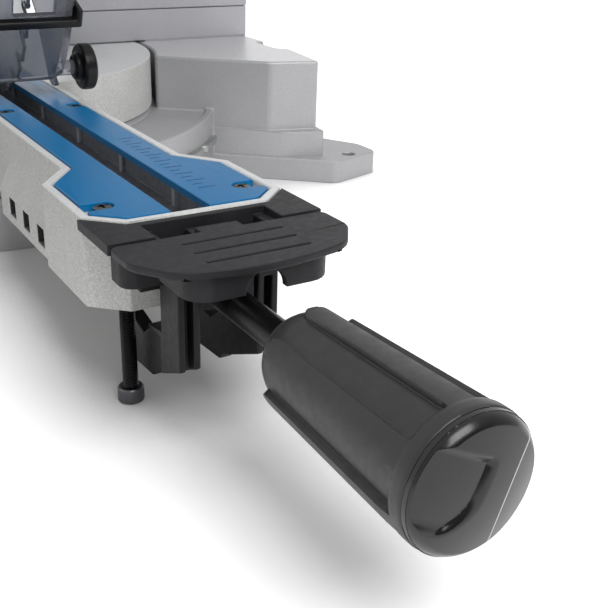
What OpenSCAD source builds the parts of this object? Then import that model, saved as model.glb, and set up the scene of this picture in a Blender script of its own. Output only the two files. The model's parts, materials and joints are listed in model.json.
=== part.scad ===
// Sliding compound mitre saw, shown with its head down and its slide partly out.
// Millimetres, +Z up, +Y to the rear. Origin: turntable axis on the bench plane.

/* [Table] */
// Height of the table top above the bench
table_h = 77; // [75:0.5:82]
// Radius of the turntable
turntable_r = 124; // [120:1:128]
// From the turntable axis to the front edge of the arm
arm_reach = 356; // [346:1:380]
// Width of the arm behind its nose
arm_w = 51; // [50:0.5:56]
// Width of the arm's nose
nose_w = 78; // [77:0.5:84]
// Length of the nose's parallel part and its corner cut
nose_len = 53.5; // [50:0.5:60]
// Kerf slot to the left of the blade's plane
slot_left = 9; // [8:0.5:10]
// Kerf slot to the right of the blade's plane
slot_right = 6; // [5:0.5:8]
// Thickness of the kerf plates
plate_t = 3; // [2:0.5:4]
// Width of the machined rim round the kerf plates
rim_w = 4; // [3:0.5:5]

/* [Base] */
// Width over the ends of the base
base_w = 426; // [416:2:450]
// Front depth of the base's wings
wing_front = 115; // [110:1:125]
// Rear depth of the base's wings
wing_back = 55; // [48:1:60]
// Height of the apron that carries the turntable
apron_h = 44; // [42:0.5:46]
// Radius of the apron's front edge
apron_r = 165; // [160:1:170]
// Spacing of the bench bolts across the base
bolt_x = 450; // [440:2:470]
// Spacing of the bench bolts from front to rear
bolt_y = 250; // [240:2:270]
// Diameter of the bench bolt holes
bolt_d = 9; // [6:0.5:11]
// Wall of the castings
wall = 5; // [4:0.5:6]
// Largest mitre angle to either side
mitre_limit = 50; // [45:1:52]

/* [Fence] */
// Height of the fixed fence above the table
fence_h = 22; // [20:0.5:26]
// Height of the sliding fence above the fixed one
sub_fence_h = 24; // [20:0.5:25]
// Thickness of each fence plate
fence_t = 8; // [6:0.5:9]
// Travel of the sliding fences
fence_travel = 40; // [30:1:50]

/* [Blade and guards] */
// Diameter of the blade
blade_d = 216; // [210:1:218]
// Bore of the blade
blade_bore = 30; // [25.4:0.2:30]
// Thickness of the blade's body
blade_t = 1.8; // [1.6:0.1:2.4]
// Number of teeth
teeth = 40; // [24:4:60]
// Blade below the table top with the head down
cut_below = 12; // [10:0.5:13]
// Blade axis in front of the fence
blade_ahead = 75; // [70:1:80]
// Outer half-width of the lower guard
guard_half = 19; // [18:0.5:20]
// Radial room between the blade and the lower guard
guard_room = 6; // [5:0.5:7]
// Diameter of the guard rollers
roller_d = 24; // [22:0.5:25]

/* [Head and slide] */
// Chop pivot behind the fence
pivot_y = 95; // [93:1:100]
// Chop pivot above the table top
pivot_h = 123; // [121:1:128]
// Outer diameter of the slide rails
rail_d = 22; // [20:0.5:24]
// Spacing of the slide rails
rail_gap = 54; // [52:1:60]
// Rail axis above the table top
rail_h = 140; // [138:1:146]
// Slide travel towards the operator
slide_out = 175; // [150:1:180]
// Slide travel towards the rear
slide_in = 45; // [35:1:50]
// Length of the rail sleeve
sleeve_len = 70; // [60:1:80]
// Outer radius of the motor housing
motor_r = 44; // [42:0.5:46]
// Length of the motor housing
motor_len = 100; // [90:1:115]

/* [Lock handle and detent lever] */
// Lock rod's axis below the table top
rod_drop = 25; // [24:0.5:25.5]
// Diameter of the lock rod
rod_d = 11; // [9:0.5:11.5]
// Grip diameter over its ribs at the front
grip_d = 40.5; // [38:0.5:44]
// Grip diameter over its ribs at the rear
grip_rear_d = 35.5; // [32:0.5:38]
// Length of the grip
grip_len = 81; // [72:1:90]
// Ribs round the grip
grip_ribs = 6; // [4:1:8]
// Width of the detent lever
lever_w = 80; // [78:0.5:84]
// Reach of the detent lever in front of the arm
lever_reach = 52; // [49:0.5:54]
// Diameter of the levelling screw
level_d = 6; // [5:0.5:8]

/* [Hidden] */
$fn = 64;

// Clearances
gap = 0.4;
running = 0.05;
seat = 0.3;
eps = 0.1;

// Colours
cast_grey = [0.74, 0.75, 0.76];
bright = [0.86, 0.87, 0.88];
plate_blue = [0.02, 0.36, 0.62];
black = [0.11, 0.11, 0.12];
dark_grey = [0.24, 0.24, 0.26];
steel = [0.6, 0.61, 0.63];
smoke = [0.2, 0.21, 0.24, 0.6];

// Points of a polygon moved inwards by d, the points running anticlockwise
function unit(v) = v / norm(v);
function left_of(v) = [-v[1], v[0]];
function inset(p, d) = [for (i = [0:len(p) - 1])
  let (n = len(p),
    u = left_of(unit(p[i] - p[(i + n - 1) % n])),
    v = left_of(unit(p[(i + 1) % n] - p[i])))
  p[i] + d * (u + v) / (1 + u * v)];
function arc(c, r, a0, a1, n) = [for (i = [0:n])
  let (a = a0 + (a1 - a0) * i / n) c + r * [cos(a), sin(a)]];
// Points of a convex polygon with round corners, the points running anticlockwise
function rounded(p, r, n) = [for (i = [0:len(p) - 1])
  let (u = unit(p[(i + len(p) - 1) % len(p)] - p[i]),
    v = unit(p[(i + 1) % len(p)] - p[i]),
    h = acos(u * v) / 2,
    a = atan2(-u[0], u[1]) + 180)
  each arc(p[i] + unit(u + v) * r / sin(h), r, a, a + 180 - 2 * h, n)];

// Plain solids: a box by corners, round bars along X and Y, and plates standing on X, Y or Z
module box(lo, hi) {
  translate(lo)
    cube(hi - lo);
}
module bar_x(c, r, x0, x1) {
  translate([x0, c[0], c[1]])
    rotate([0, 90, 0])
      cylinder(r = r, h = x1 - x0);
}
module bar_y(c, r, y0, y1) {
  translate([c[0], y1, c[1]])
    rotate([90, 0, 0])
      cylinder(r = r, h = y1 - y0);
}
module bar_z(c, r, z0, z1) {
  translate([c[0], c[1], z0])
    cylinder(r = r, h = z1 - z0);
}
module plate_x(p, x0, x1) {
  translate([x0, 0, 0])
    rotate([90, 0, 90])
      linear_extrude(x1 - x0)
        polygon(p);
}
module plate_y(p, y0, y1) {
  translate([0, y1, 0])
    rotate([90, 0, 0])
      linear_extrude(y1 - y0)
        polygon(p);
}
module plate_z(p, z0, z1) {
  translate([0, 0, z0])
    linear_extrude(z1 - z0)
      polygon(p);
}
module both_sides() {
  children();
  mirror([1, 0, 0])
    children();
}

// Turntable and arm: plan outline, front first, anticlockwise
front_y = -arm_reach;
arm_half = arm_w / 2;
nose_half = nose_w / 2;
nose_cut = 12;
nose_y = front_y + nose_len;
flare_len = 18;
corner_y = front_y + nose_cut - 1;
arm_rear = 70;
arm_plan = [[nose_half - nose_cut, front_y], [nose_half, corner_y], [nose_half, nose_y],
  [arm_half, nose_y + flare_len], [arm_half, arm_rear], [-arm_half, arm_rear],
  [-arm_half, nose_y + flare_len], [-nose_half, nose_y], [-nose_half, corner_y],
  [nose_cut - nose_half, front_y]];
arm_z = table_h - 38;
nose_z = table_h - 33;
table_z = apron_h + 1.5;
web_z = table_h - 18;
trough_floor = web_z + 3;
trough_half = slot_left + 5;
trough_rib = 2;
recess_z = table_h - plate_t;
skirt_half = arm_half + 8;
skirt_top = table_h - 8;
skirt_side = table_h - 25;
skirt_rear = front_y + 138;
skirt_slot = 9;
skirt_pitch = 20;
hub_r = 22;
pivot_r = 6;
neck_half = 40;
neck_y = 118;
neck_end = 140;
trunnion_r = 38;
shaft_r = 8;
axis_h = table_h;

// Base
wing_r = turntable_r + 3;
wing_x = base_w / 2;
face_gap = 4.3;
wing_tip = 201;
ledge_h = 32;
ledge_w = 2;
ledge_step = 8;
foot_h = 15;
foot_out = 5;
foot_in = 130;
ear_r = 22;
bearing_w = 7;
apron_top = apron_h - 2;
lip_w = 5;
notch_d = 7;
wing_corner = 8;
face_n = [cos(mitre_limit), sin(mitre_limit)];
face_d = [sin(mitre_limit), -cos(mitre_limit)];
face_at = arm_half + face_gap;
rear_at = neck_half + 2;
rear_t = (wing_back + rear_at * sin(mitre_limit)) / cos(mitre_limit);
in_circle = 80;
function on_face(t, out = 0) = (face_at - out) * face_n + t * face_d;
function on_rear(t) = [rear_at * face_n[0] + t * face_d[0], -rear_at * face_n[1] - t * face_d[1]];
function wing_plan(step) = [on_face(in_circle), on_face(wing_tip + step),
  [wing_x - wing_corner, -wing_front - step / 2], [wing_x, -wing_front / 2 - notch_d],
  [wing_x - notch_d, -wing_front / 2], [wing_x - notch_d, -wing_front / 4], [wing_x, -wing_front / 4],
  [wing_x, wing_back], on_rear(rear_t), on_rear(in_circle)];
foot_plan = [on_face(in_circle, foot_out), [bolt_x / 2 - 18, -bolt_y / 2 - 14],
  [bolt_x / 2 + ear_r, -bolt_y / 2 - 2],
  [bolt_x / 2 + ear_r, 20 - bolt_y / 2], [wing_x + 6, -wing_front / 2],
  [wing_x + 6, wing_back], [bolt_x / 2 + ear_r, bolt_y / 2 - 20],
  [bolt_x / 2 + ear_r, bolt_y / 2 + 2], [bolt_x / 2 - 18, bolt_y / 2 + 14],
  [foot_in, wing_back + 12]];
bolt_head_h = 8;
bolt_head_r = 9.5;
bolt_seat = 14;

// Fence
fence_in = 76;
left_in = 94;
fence_slope = 1.65;
fence_end = wing_x;
fence_top = table_h + fence_h;
sub_top = fence_top + sub_fence_h;
fence_lift = 0.6;
fence_rear = 2 * fence_t;
fence_foot = 38;
fence_foot_h = 8;
foot_bolt_y = 27;
foot_bolts = [wing_r + 18, wing_x - 18];
stud_r = 4;
stud_x = wing_x - 14;
stud_z = (fence_top + sub_top) / 2;
knob_r = 15;
sub_lip = 0.8;

// Front cap, detent lever and bracket
cap_top = table_h - 0.5;
cap_half = nose_half + 1;
cap_in = 23.5;
cap_front = front_y - 16;
cap_web = 3;
cap_low = table_h - 25;
block_out = nose_half - 5.5;
block_low = table_h - 19.5;
lever_top = table_h - 1;
lever_t = 2.8;
lever_half = lever_w / 2;
lever_back = cap_front - 1;
lever_front = front_y - lever_reach;
lever_side = lever_front + 19;
lever_corner = 9;
tab_half = 8;
tab_step = front_y - 12.3;
tab_back = front_y - 5;
tab_low = lever_top - 10;
pin_y = front_y - 9;
pin_z = lever_top - 6.5;
pin_r = 2;
skirt_low = table_h - 12.6;
skirt_front = lever_front + 5;
skirt_back = lever_back - 6;
skirt_wide = lever_half - 14;
skirt_t = 3;
skirt_round = 9;
rod_r = rod_d / 2;
rod_h = table_h - rod_drop;
leg_in = max(rod_r + 4.5, 11);
leg_out = leg_in + 8.2;
leg_front = front_y - 22;
leg_mid = front_y - 7;
block_in = leg_out + seat;

// Handle
grip_start = front_y - 62.5;
grip_end = grip_start - grip_len;
grip_r = grip_d / 2;
grip_rear_r = grip_rear_d / 2;
rib_h = 2.2;
rib_w = 7.5;
rib_start = 10;
shoulder = [[8.8, 0], [5.4, 3.5], [3.8, 6], [2.6, 9]];
shoulder_len = 12;
collar = 3;
cap_len = 6.5;
cap_round = 3;
rod_end = -apron_r - 9.2;

// Blade, spindle and guards
blade_r = blade_d / 2;
blade_y = -blade_ahead;
blade_z = table_h + blade_r - cut_below;
blade_c = [blade_y, blade_z];
kerf_half = blade_t / 2 + 0.4;
gullet = 7;
tooth_gap = 0.4 * 2 * PI * blade_r / teeth;
guard_in = blade_r + guard_room;
guard_r = guard_in + 4;
guard_wall = 2.6;
lip_h = 8.5;
lip_a = asin((blade_z - table_h - lip_h) / guard_r);
lip_half = 14;
window_a = 24;
window_half = 10;
shell_in = guard_r + 3;
shell_r = shell_in + 4;
shell_half = guard_half + 1.5;
shell_out = shell_half + 3.5;
shell_tilt = 8;
nose_r = 30;
nose_in = guard_half - 6;
ring_r = 38;
roller_r = roller_d / 2;
roller_at = guard_r - 8;
roller_drop = table_h + roller_r + 1;
roller_a = asin((blade_z - roller_drop) / roller_at);
roller_y = blade_y - roller_at * cos(roller_a);
roller_c = [roller_y, roller_drop];
roller_w = 7;
roller_ear = 9;
ear_plan = concat([roller_c + roller_ear * [cos(60), sin(60)]],
  arc(roller_c, roller_ear, 180, 330, 10), [roller_c + [20, 22], roller_c + [0, 26]]);
roller_in = guard_half + 12;
roller_pin = 4;
spindle_r = 10;
bearing_r = spindle_r + 7;
flange_r = 25;
flange_t = 5;
gear_r = 42.3;
pinion_r = 11.2;
gear_x = shell_out + 6;
gear_w = 14;
housing_x = shell_out + 38;
gear_room = gear_r + 1.2;
gear_wall = gear_room + 4.5;
cover_t = 5;

// Motor
motor_dy = 20;
motor_dz = 50;
motor_c = blade_c + [motor_dy, motor_dz];
motor_x = housing_x + cover_t;
motor_end = motor_x + motor_len;
cap_depth = 28;
motor_wall = 3.5;
armature_r = 22;
shaft_m = 5;
field_start = motor_x + motor_len / 5;
field_end = motor_end - motor_len * 0.28;

// Slide, bevel and chop
chop_c = [pivot_y, table_h + pivot_h];
chop_r = 19;
chop_bore = 8;
boss_half = 21;
ear_t = 11;
ear_out = boss_half + gap + ear_t;
bracket_y = pivot_y + chop_r + 4;
bracket_end = bracket_y + 28;
rail_r = rail_d / 2;
rail_x = rail_gap / 2;
rail_z = table_h + rail_h;
sleeve_y = bracket_end + slide_in + 3;
sleeve_end = sleeve_y + sleeve_len;
rail_start = bracket_y + 4;
rail_end = sleeve_end + slide_out + 26;
rail_wall = 3;
bush_t = 3;
bush_len = 16;
sleeve_half = rail_x + rail_r + bush_t + 6;
disc_y = neck_end + gap;
disc_end = disc_y + 26;
lever_y = disc_end + gap;

// Base: two hollow wings, the apron, the hub and the feet with their bench bolt ears
module wing(p, z0, z1, r) {
  difference() {
    plate_z(p, z0, z1);
    bar_z([0, 0], r, z0 - 1, z1 + 1);
  }
}
module front_half(r, z0, z1) {
  intersection() {
    bar_z([0, 0], r, z0, z1);
    box([-r, -r, z0], [r, 0, z1]);
  }
}
module base_ribs() {
  for (a = [0:60:300])
    rotate(a + 30)
      box([0, -wall / 2, -2], [apron_r, wall / 2, apron_h]);
}
module base_casting() {
  color(cast_grey) {
    both_sides()
      difference() {
        union() {
          wing(wing_plan(0), foot_h, table_h, wing_r);
          wing(inset(wing_plan(ledge_step), -ledge_w), foot_h, ledge_h, wing_r);
          wing(foot_plan, 0, foot_h, wing_r);
        }
        wing(inset(wing_plan(0), wall), -1, table_h - wall, wing_r + wall);
        for (s = [-1, 1])
          bar_z([bolt_x / 2, s * bolt_y / 2], bolt_d / 2, -1, foot_h + 1);
        for (x = foot_bolts)
          bar_z([x, foot_bolt_y], 3, table_h - wall - 1, table_h + 1);
      }
    difference() {
      union() {
        front_half(apron_r, 0, apron_top);
        difference() {
          front_half(apron_r, apron_top - eps, apron_h);
          bar_z([0, 0], apron_r - lip_w, apron_top - 1, apron_h + 1);
        }
        bar_z([0, 0], wing_r + wall, 0, apron_top);
        difference() {
          bar_z([0, 0], turntable_r - 1, apron_top - eps, table_z - seat);
          bar_z([0, 0], turntable_r - bearing_w, apron_top - 1, table_z + 1);
        }
      }
      difference() {
        front_half(apron_r - wall, -1, apron_top - wall);
        bar_z([0, 0], wing_r + wall, -2, apron_h);
        base_ribs();
      }
      difference() {
        bar_z([0, 0], wing_r - wall, -1, apron_top - wall);
        bar_z([0, 0], hub_r, -2, apron_h);
        base_ribs();
      }
      bar_z([0, 0], pivot_r + running, -2, apron_h + 2);
      bar_z([0, 0], bolt_head_r + 1, -2, bolt_seat);
    }
  }
}

// Steel arc under the apron's front edge, with notches at the usual mitre angles
detent_angles = [0, 15, 22.5, 31.6, 45];
plate_low = 26;
module detent_plate() {
  color(steel)
    difference() {
      intersection() {
        bar_z([0, 0], apron_r + 4, plate_low, plate_low + 4);
        box([-apron_r, -apron_r - 5, 0], [apron_r, -apron_r * cos(mitre_limit + 5), apron_h]);
      }
      bar_z([0, 0], apron_r, plate_low - 1, plate_low + 5);
      for (a = detent_angles, s = [-1, 1])
        rotate(s * a)
          bar_z([0, -apron_r - 4], 3, plate_low - 1, plate_low + 5);
    }
}

module pivot_bolt() {
  color(steel) {
    bar_z([0, 0], pivot_r, bolt_seat, web_z - 3);
    translate([0, 0, bolt_seat - bolt_head_h])
      cylinder(r = bolt_head_r, h = bolt_head_h, $fn = 6);
  }
}

// Fence halves: the plate, the rear wall with the clamp slot, the foot and two ribs.
// The left one leans away from the blade so that the tilted head passes.
function fence_plan(start, lean, z0, z1) = [
  [start + lean * (z0 - table_h), z0], [fence_end, z0], [fence_end, z1],
  [start + lean * (z1 - table_h), z1]];
module fence_shape(start, lean) {
  difference() {
    union() {
      plate_y(fence_plan(start, lean, table_h + fence_lift, fence_top), 0, fence_rear);
      plate_y(fence_plan(start, lean, fence_top - eps, sub_top - 6), fence_t + seat, fence_rear);
      box([wing_r + 4, eps, table_h], [fence_end, fence_foot, table_h + fence_foot_h]);
      for (x = foot_bolts)
        plate_x([[fence_rear - eps, table_h + 1], [fence_foot - 2, table_h + 1],
          [fence_rear - eps, table_h + 14]], x - 15 - wall / 2, x - 15 + wall / 2);
    }
    for (x = foot_bolts)
      bar_z([x, foot_bolt_y], 3 + running, table_h - 1, table_h + fence_foot_h + 1);
    for (x = [stud_x, stud_x - fence_travel])
      bar_y([x, stud_z], stud_r + gap, fence_t - 1, fence_rear + 1);
    box([stud_x - fence_travel, fence_t - 1, stud_z - stud_r - gap],
      [stud_x, fence_rear + 1, stud_z + stud_r + gap]);
  }
}
module sub_fence_shape(start, lean) {
  difference() {
    plate_y(fence_plan(start, lean, fence_top + seat, sub_top), -sub_lip, fence_t);
    bar_y([stud_x - fence_travel, stud_z], stud_r + running, 3, fence_t + 1);
  }
}
module fence_knob_shape() {
  bar_y([stud_x - fence_travel, stud_z], stud_r, 3 + seat, fence_rear + 3);
  difference() {
    bar_y([stud_x - fence_travel, stud_z], knob_r, fence_rear + seat, fence_rear + 18);
    for (a = [0:60:300])
      bar_y([stud_x - fence_travel, stud_z] + (knob_r + 3) * [cos(a), sin(a)], 6,
        fence_rear + 5, fence_rear + 19);
  }
}
module fence_left() {
  color(cast_grey)
    mirror([1, 0, 0])
      fence_shape(left_in, fence_slope);
}
module fence_right() {
  color(cast_grey)
    fence_shape(fence_in, 0);
}
module sub_fence_left() {
  color(cast_grey)
    mirror([1, 0, 0])
      sub_fence_shape(left_in, fence_slope);
}
module sub_fence_right() {
  color(cast_grey)
    sub_fence_shape(fence_in, 0);
}
module fence_knob_left() {
  color(black)
    mirror([1, 0, 0])
      fence_knob_shape();
}
module fence_knob_right() {
  color(black)
    fence_knob_shape();
}
module fence_bolts() {
  color(dark_grey)
    both_sides()
      for (x = foot_bolts) {
        bar_z([x, foot_bolt_y], 3 - running, table_h - wall, table_h + fence_foot_h + 1);
        bar_z([x, foot_bolt_y], 5, table_h + fence_foot_h, table_h + fence_foot_h + 6);
      }
}

// Turntable: round table, hollow arm with its flared skirt, blade trough and tilt trunnion
skirt_slots = [for (i = [0:2]) nose_y + flare_len + 4 + skirt_slot / 2 + i * skirt_pitch];
module arm_skirt() {
  plate_y([[arm_half - 1, arm_z], [skirt_half, arm_z], [skirt_half, skirt_side],
    [arm_half, skirt_top], [arm_half - 1, skirt_top]], nose_y + flare_len / 2, skirt_rear);
}
module turntable_casting() {
  color(cast_grey)
    difference() {
      union() {
        bar_z([0, 0], turntable_r, table_z, table_h);
        difference() {
          plate_z(arm_plan, arm_z, table_h);
          box([-arm_w, -apron_r - 12, arm_z - 1], [arm_w, arm_rear + 1, table_z]);
          box([-nose_w, front_y - 1, arm_z - 1], [nose_w, nose_y + flare_len, nose_z]);
        }
        both_sides()
          arm_skirt();
        box([-neck_half, turntable_r - 20, table_z], [neck_half, neck_end, table_h]);
        difference() {
          bar_y([0, axis_h], trunnion_r, neck_y, neck_end);
          box([-neck_half, neck_y - 1, 0], [neck_half, wing_r + wall + 2, table_z]);
        }
      }
      // Recess for the kerf plates and the blade trough
      plate_z(inset(arm_plan, rim_w), recess_z, table_h + 1);
      difference() {
        box([-trough_half, front_y + 8, trough_floor], [trough_half, arm_rear - rim_w, table_h]);
        both_sides()
          for (y = [front_y + 48:56:0])
            box([trough_half - trough_rib, y, trough_floor - 1],
              [trough_half + 1, y + 3, recess_z]);
      }
      // Hollow underside of the arm, its nose and the table
      difference() {
        plate_z(inset(arm_plan, wall + 0.5), arm_z - 1, web_z);
        bar_z(level_c, level_d / 2 + 4, nose_z, web_z + 1);
      }
      difference() {
        bar_z([0, 0], turntable_r - bearing_w - 2, table_z - 1, web_z);
        bar_z([0, 0], hub_r, table_z - 2, web_z + 1);
        for (a = [20:40:340])
          rotate(a)
            box([-wall / 2, 0, table_z - 2], [wall / 2, turntable_r, web_z + 1]);
      }
      bar_z([0, 0], pivot_r + running, table_z - 1, web_z - 1);
      both_sides()
        for (y = skirt_slots)
          box([skirt_half - 5, y - skirt_slot / 2, arm_z + 4],
            [skirt_half + 1, y + skirt_slot / 2, skirt_side - 1]);
      // Bores for the tilt shaft, the levelling screw and the lock rod
      bar_y([0, axis_h], shaft_r + running, neck_y + 2, neck_end + 1);
      bar_y([0, rod_h], rod_r + 0.6, front_y - 1, front_y + 20);
      box([detent_x - seat, front_y - 1, detent_z - 2], [detent_x + detent_w + seat, front_y + 20,
        detent_z + detent_h + seat]);
      for (p = screw_places)
        bar_z(p, screw_r + running, screw_low - 1, recess_z + 1);
      bar_z(level_c, level_d / 2 + running, arm_z - 1, web_z - 1);
    }
}

// Levelling screw under the nose, its head on the bench
level_c = [-22.4, front_y + 16];
level_head_r = level_d * 5 / 6;
level_travel = 8;
module level_screw() {
  color(black) {
    difference() {
      bar_z(level_c, level_head_r, 0, level_d);
      translate([level_c[0], level_c[1], -1])
        cylinder(r = level_d * 0.45, h = level_d / 2 + 1, $fn = 6);
    }
    bar_z(level_c, level_d / 2, level_d - eps, web_z - level_travel - 2);
  }
}

// Kerf plates: two halves in the recess, each with open notches for its screws
screw_r = 1.6;
screw_head_r = 3.4;
screw_head_h = 2;
notch_r = 4;
plate_gap = 0.3;
screw_low = recess_z - 10;
screw_rows = [front_y + 20.4, front_y + 178, front_y + 336];
function screw_x(y) = y < nose_y ? nose_half - rim_w - 7.4 : arm_half - rim_w - 4.2;
screw_places = [for (y = screw_rows, s = [-1, 1]) [s * screw_x(y), y]];
module kerf_plate_shape(edge) {
  difference() {
    plate_z(inset(arm_plan, rim_w + plate_gap), recess_z, table_h);
    box([-nose_w, front_y - 1, recess_z - 1], [edge, arm_rear + 1, table_h + 1]);
    for (y = screw_rows) {
      bar_z([screw_x(y), y], notch_r, recess_z - 1, table_h + 1);
      box([screw_x(y), y - notch_r, recess_z - 1], [nose_w, y + notch_r, table_h + 1]);
    }
  }
}
module kerf_plate_left() {
  color(plate_blue)
    mirror([1, 0, 0])
      kerf_plate_shape(slot_left);
}
module kerf_plate_right() {
  color(plate_blue)
    kerf_plate_shape(slot_right);
}
module kerf_screws() {
  color(dark_grey)
    for (p = screw_places) {
      bar_z(p, screw_r, screw_low, recess_z + eps);
      bar_z(p, screw_head_r, recess_z, recess_z + screw_head_h);
    }
}

// Front cap: a web on the arm's end face and two ears round its cut corners
cap_ear = [[cap_in, cap_front], [cap_half, cap_front], [cap_half, corner_y + 1],
  [nose_half + seat, corner_y], [nose_half - nose_cut + seat, front_y - seat],
  [cap_in, front_y - seat]];
module front_cap() {
  color(black)
    difference() {
      union() {
        both_sides() {
          plate_z(cap_ear, cap_top - 4, cap_top);
          plate_z([[block_in, front_y - 12.5], [block_out - 3, front_y - 12], [block_out, front_y - 9],
            [block_out, front_y - seat], [block_in, front_y - seat]], block_low, cap_top - 3);
        }
        box([-cap_in - 1, front_y - cap_web - seat, cap_low], [cap_in + 1, front_y - seat, cap_top]);
      }
      bar_y([0, rod_h], rod_r + 0.8, front_y - 20, front_y + 1);
      bar_x([pin_y, pin_z], pin_r + running, -cap_in - 7, cap_in + 7);
    }
}
module lever_pins() {
  color(steel) {
    bar_x([pin_y, pin_z], pin_r, -cap_in - 6, cap_in + 6);
    bar_x([see_saw_y, detent_z + detent_h / 2], pin_r, wall + 0.5 - arm_half, arm_half - wall - 0.5);
  }
}

// Bracket of the lock rod: two cheeks with a front channel, joined by a bridge under the lever
bridge_z = rod_h + rod_r + 2;
cheek = [[leg_front, bridge_z + 4], [leg_front, arm_z - 11], [front_y + 6, arm_z - 24],
  [front_y + 8, arm_z - 26.5], [front_y + 30, arm_z - 28], [front_y + 30, arm_z - 8],
  [front_y + 15, arm_z - 11.5], [front_y + 4, arm_z - 2.8], [leg_mid, arm_z - 1],
  [leg_mid, bridge_z + 4]];
module lock_bracket() {
  color(black)
    difference() {
      union() {
        both_sides()
          plate_x(cheek, leg_in, leg_out);
        box([-leg_out, leg_front, bridge_z], [leg_out, front_y - cap_web - 2 * seat, bridge_z + 4]);
        bar_y([0, rod_h], rod_r + 3.5, leg_mid - 3, front_y - cap_web - 2 * seat);
      }
      bar_y([0, rod_h], rod_r + running, leg_front - 1, front_y);
      both_sides() {
        box([leg_in + 2.6, leg_front - 1, 0], [leg_out - 2.6, leg_front + 5, bridge_z - 2]);
        box([leg_out - 2.5, leg_mid + 1, 0], [leg_out + 1, front_y + 31, arm_z - 4]);
      }
      box([detent_x - seat, leg_front - 1, bridge_z - 1], [detent_x + detent_w + seat, pin_y - 2,
        bridge_z + 5]);
      box([detent_x - gap, leg_mid - 4, detent_z - 2], [detent_x + detent_w + gap, front_y,
        detent_z + detent_h + gap]);
    }
}

// Shoe in front of the apron's edge, hung on a cross pin, that the lock rod presses on
shoe_back = -apron_r - gap - 0.4;
shoe_t = 8;
module lock_shoe() {
  color(steel) {
    box([-9, shoe_back - shoe_t, plate_low + 6], [rod_r - 0.5, shoe_back, rod_h + 5]);
    bar_x([shoe_back - shoe_t / 2, rod_h + 2], 2.5, wall + 0.5 - arm_half, arm_half - wall - 0.5);
  }
}

module bevel_shaft() {
  color(steel) {
    bar_y([0, axis_h], shaft_r, neck_y + 2.5, lever_y + 24);
    translate([0, lever_y + 22, axis_h])
      rotate([90, 0, 0])
        cylinder(r = shaft_r * 1.6, h = 7, $fn = 6);
  }
}

// Detent lever: arched plate with a rear tab, a skirt with an arch over the lock rod, three grooves
lever_bulge = lever_reach - 46;
lever_arc_half = lever_half - lever_corner;
lever_arc_r = (lever_arc_half * lever_arc_half + lever_bulge * lever_bulge) / (2 * lever_bulge);
lever_arc_a = asin(lever_arc_half / lever_arc_r);
lever_plan = concat(
  arc([0, lever_front + lever_arc_r], lever_arc_r, -90 - lever_arc_a, lever_arc_a - 90, 12),
  [[lever_half, lever_side], [lever_half, lever_back], [-lever_half, lever_back],
  [-lever_half, lever_side]]);
function skirt_plan(d) = concat(
  arc([skirt_round - skirt_wide, skirt_front + skirt_round], skirt_round - d, 180, 270, 6),
  arc([skirt_wide - skirt_round, skirt_front + skirt_round], skirt_round - d, 270, 360, 6),
  [[skirt_wide - d, skirt_back + d], [d - skirt_wide, skirt_back + d]]);
groove_half = 18;
groove_r = 0.6;
groove_d = 0.8;
groove_ys = [for (i = [0:2]) front_y - 25 - 8.7 * i];
module detent_lever() {
  color(dark_grey)
    difference() {
      union() {
        plate_z(lever_plan, lever_top - lever_t, lever_top);
        box([-tab_half, lever_back - 1, tab_low], [tab_half, tab_step, lever_top]);
        box([-tab_half, lever_back - 1, tab_low], [tab_half, tab_back, lever_top - lever_t]);
        box([detent_x + seat, finger_y, detent_z + detent_h + gap],
          [detent_x + detent_w - seat, finger_y + 5, lever_top - lever_t + 1]);
        difference() {
          plate_z(skirt_plan(0), skirt_low, lever_top - lever_t + 1);
          plate_z(skirt_plan(skirt_t), skirt_low - 1, lever_top - lever_t);
        }
      }
      bar_y([0, skirt_low], rod_r + 1.9, lever_front - 1, skirt_front + skirt_t + 1);
      bar_x([pin_y, pin_z], pin_r + running, -tab_half - 1, tab_half + 1);
      for (y = groove_ys) {
        box([-groove_half, y - groove_r, lever_top - groove_d],
          [groove_half, y + groove_r, lever_top + 1]);
        both_sides()
          bar_z([groove_half, y], groove_r, lever_top - groove_d, lever_top + 1);
      }
    }
}

// Detent rod: a see-saw under the arm. The lever's finger presses its front end down, which lifts
// the tooth at its rear end out of the notches.
detent_w = 4;
detent_h = 5;
detent_x = max(rod_r + 1, 6.5);
detent_z = arm_z + 2;
see_saw_y = front_y + 80;
finger_y = pin_y - 12;
tooth_y = -apron_r - 4.6;
tooth_z = plate_low + 4 + gap;
module detent_rod() {
  color(steel)
    difference() {
      union() {
        box([detent_x, finger_y - 1, detent_z], [detent_x + detent_w, tooth_y + 4, detent_z + detent_h]);
        box([detent_x, tooth_y, tooth_z], [detent_x + detent_w, tooth_y + 4, detent_z + 1]);
        bar_x([see_saw_y, detent_z + detent_h / 2], pin_r + 2.5, detent_x, detent_x + detent_w);
      }
      bar_x([see_saw_y, detent_z + detent_h / 2], pin_r + running, detent_x - 1, detent_x + detent_w + 1);
    }
}

// Lock rod, grip with raised panels and the domed end cap
module lock_rod() {
  color(black)
    bar_y([0, rod_h], rod_r, grip_end + 6, rod_end);
}
module grip_profile(cut) {
  polygon(concat([[rod_r, 0]], [for (q = shoulder) [grip_rear_r - q[0], q[1]]],
    [[grip_rear_r - cut, shoulder_len], [grip_r - cut, grip_len - collar],
    [grip_r, grip_len - collar], [grip_r, grip_len], [rod_r, grip_len]]));
}
module handle_grip() {
  color(black)
    translate([0, grip_start, rod_h])
      rotate([90, 0, 0])
        difference() {
          union() {
            rotate_extrude()
              grip_profile(rib_h);
            intersection() {
              rotate_extrude()
                grip_profile(0);
              for (i = [0:grip_ribs - 1])
                rotate(i * 360 / grip_ribs + 90)
                  box([0, -rib_w / 2, rib_start], [grip_r + 1, rib_w / 2, grip_len]);
            }
          }
          translate([0, 0, grip_len - 3])
            cylinder(r = grip_r * 0.7, h = 4);
          cylinder(r = rod_r, h = 3 * grip_len, center = true);
        }
}

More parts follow.
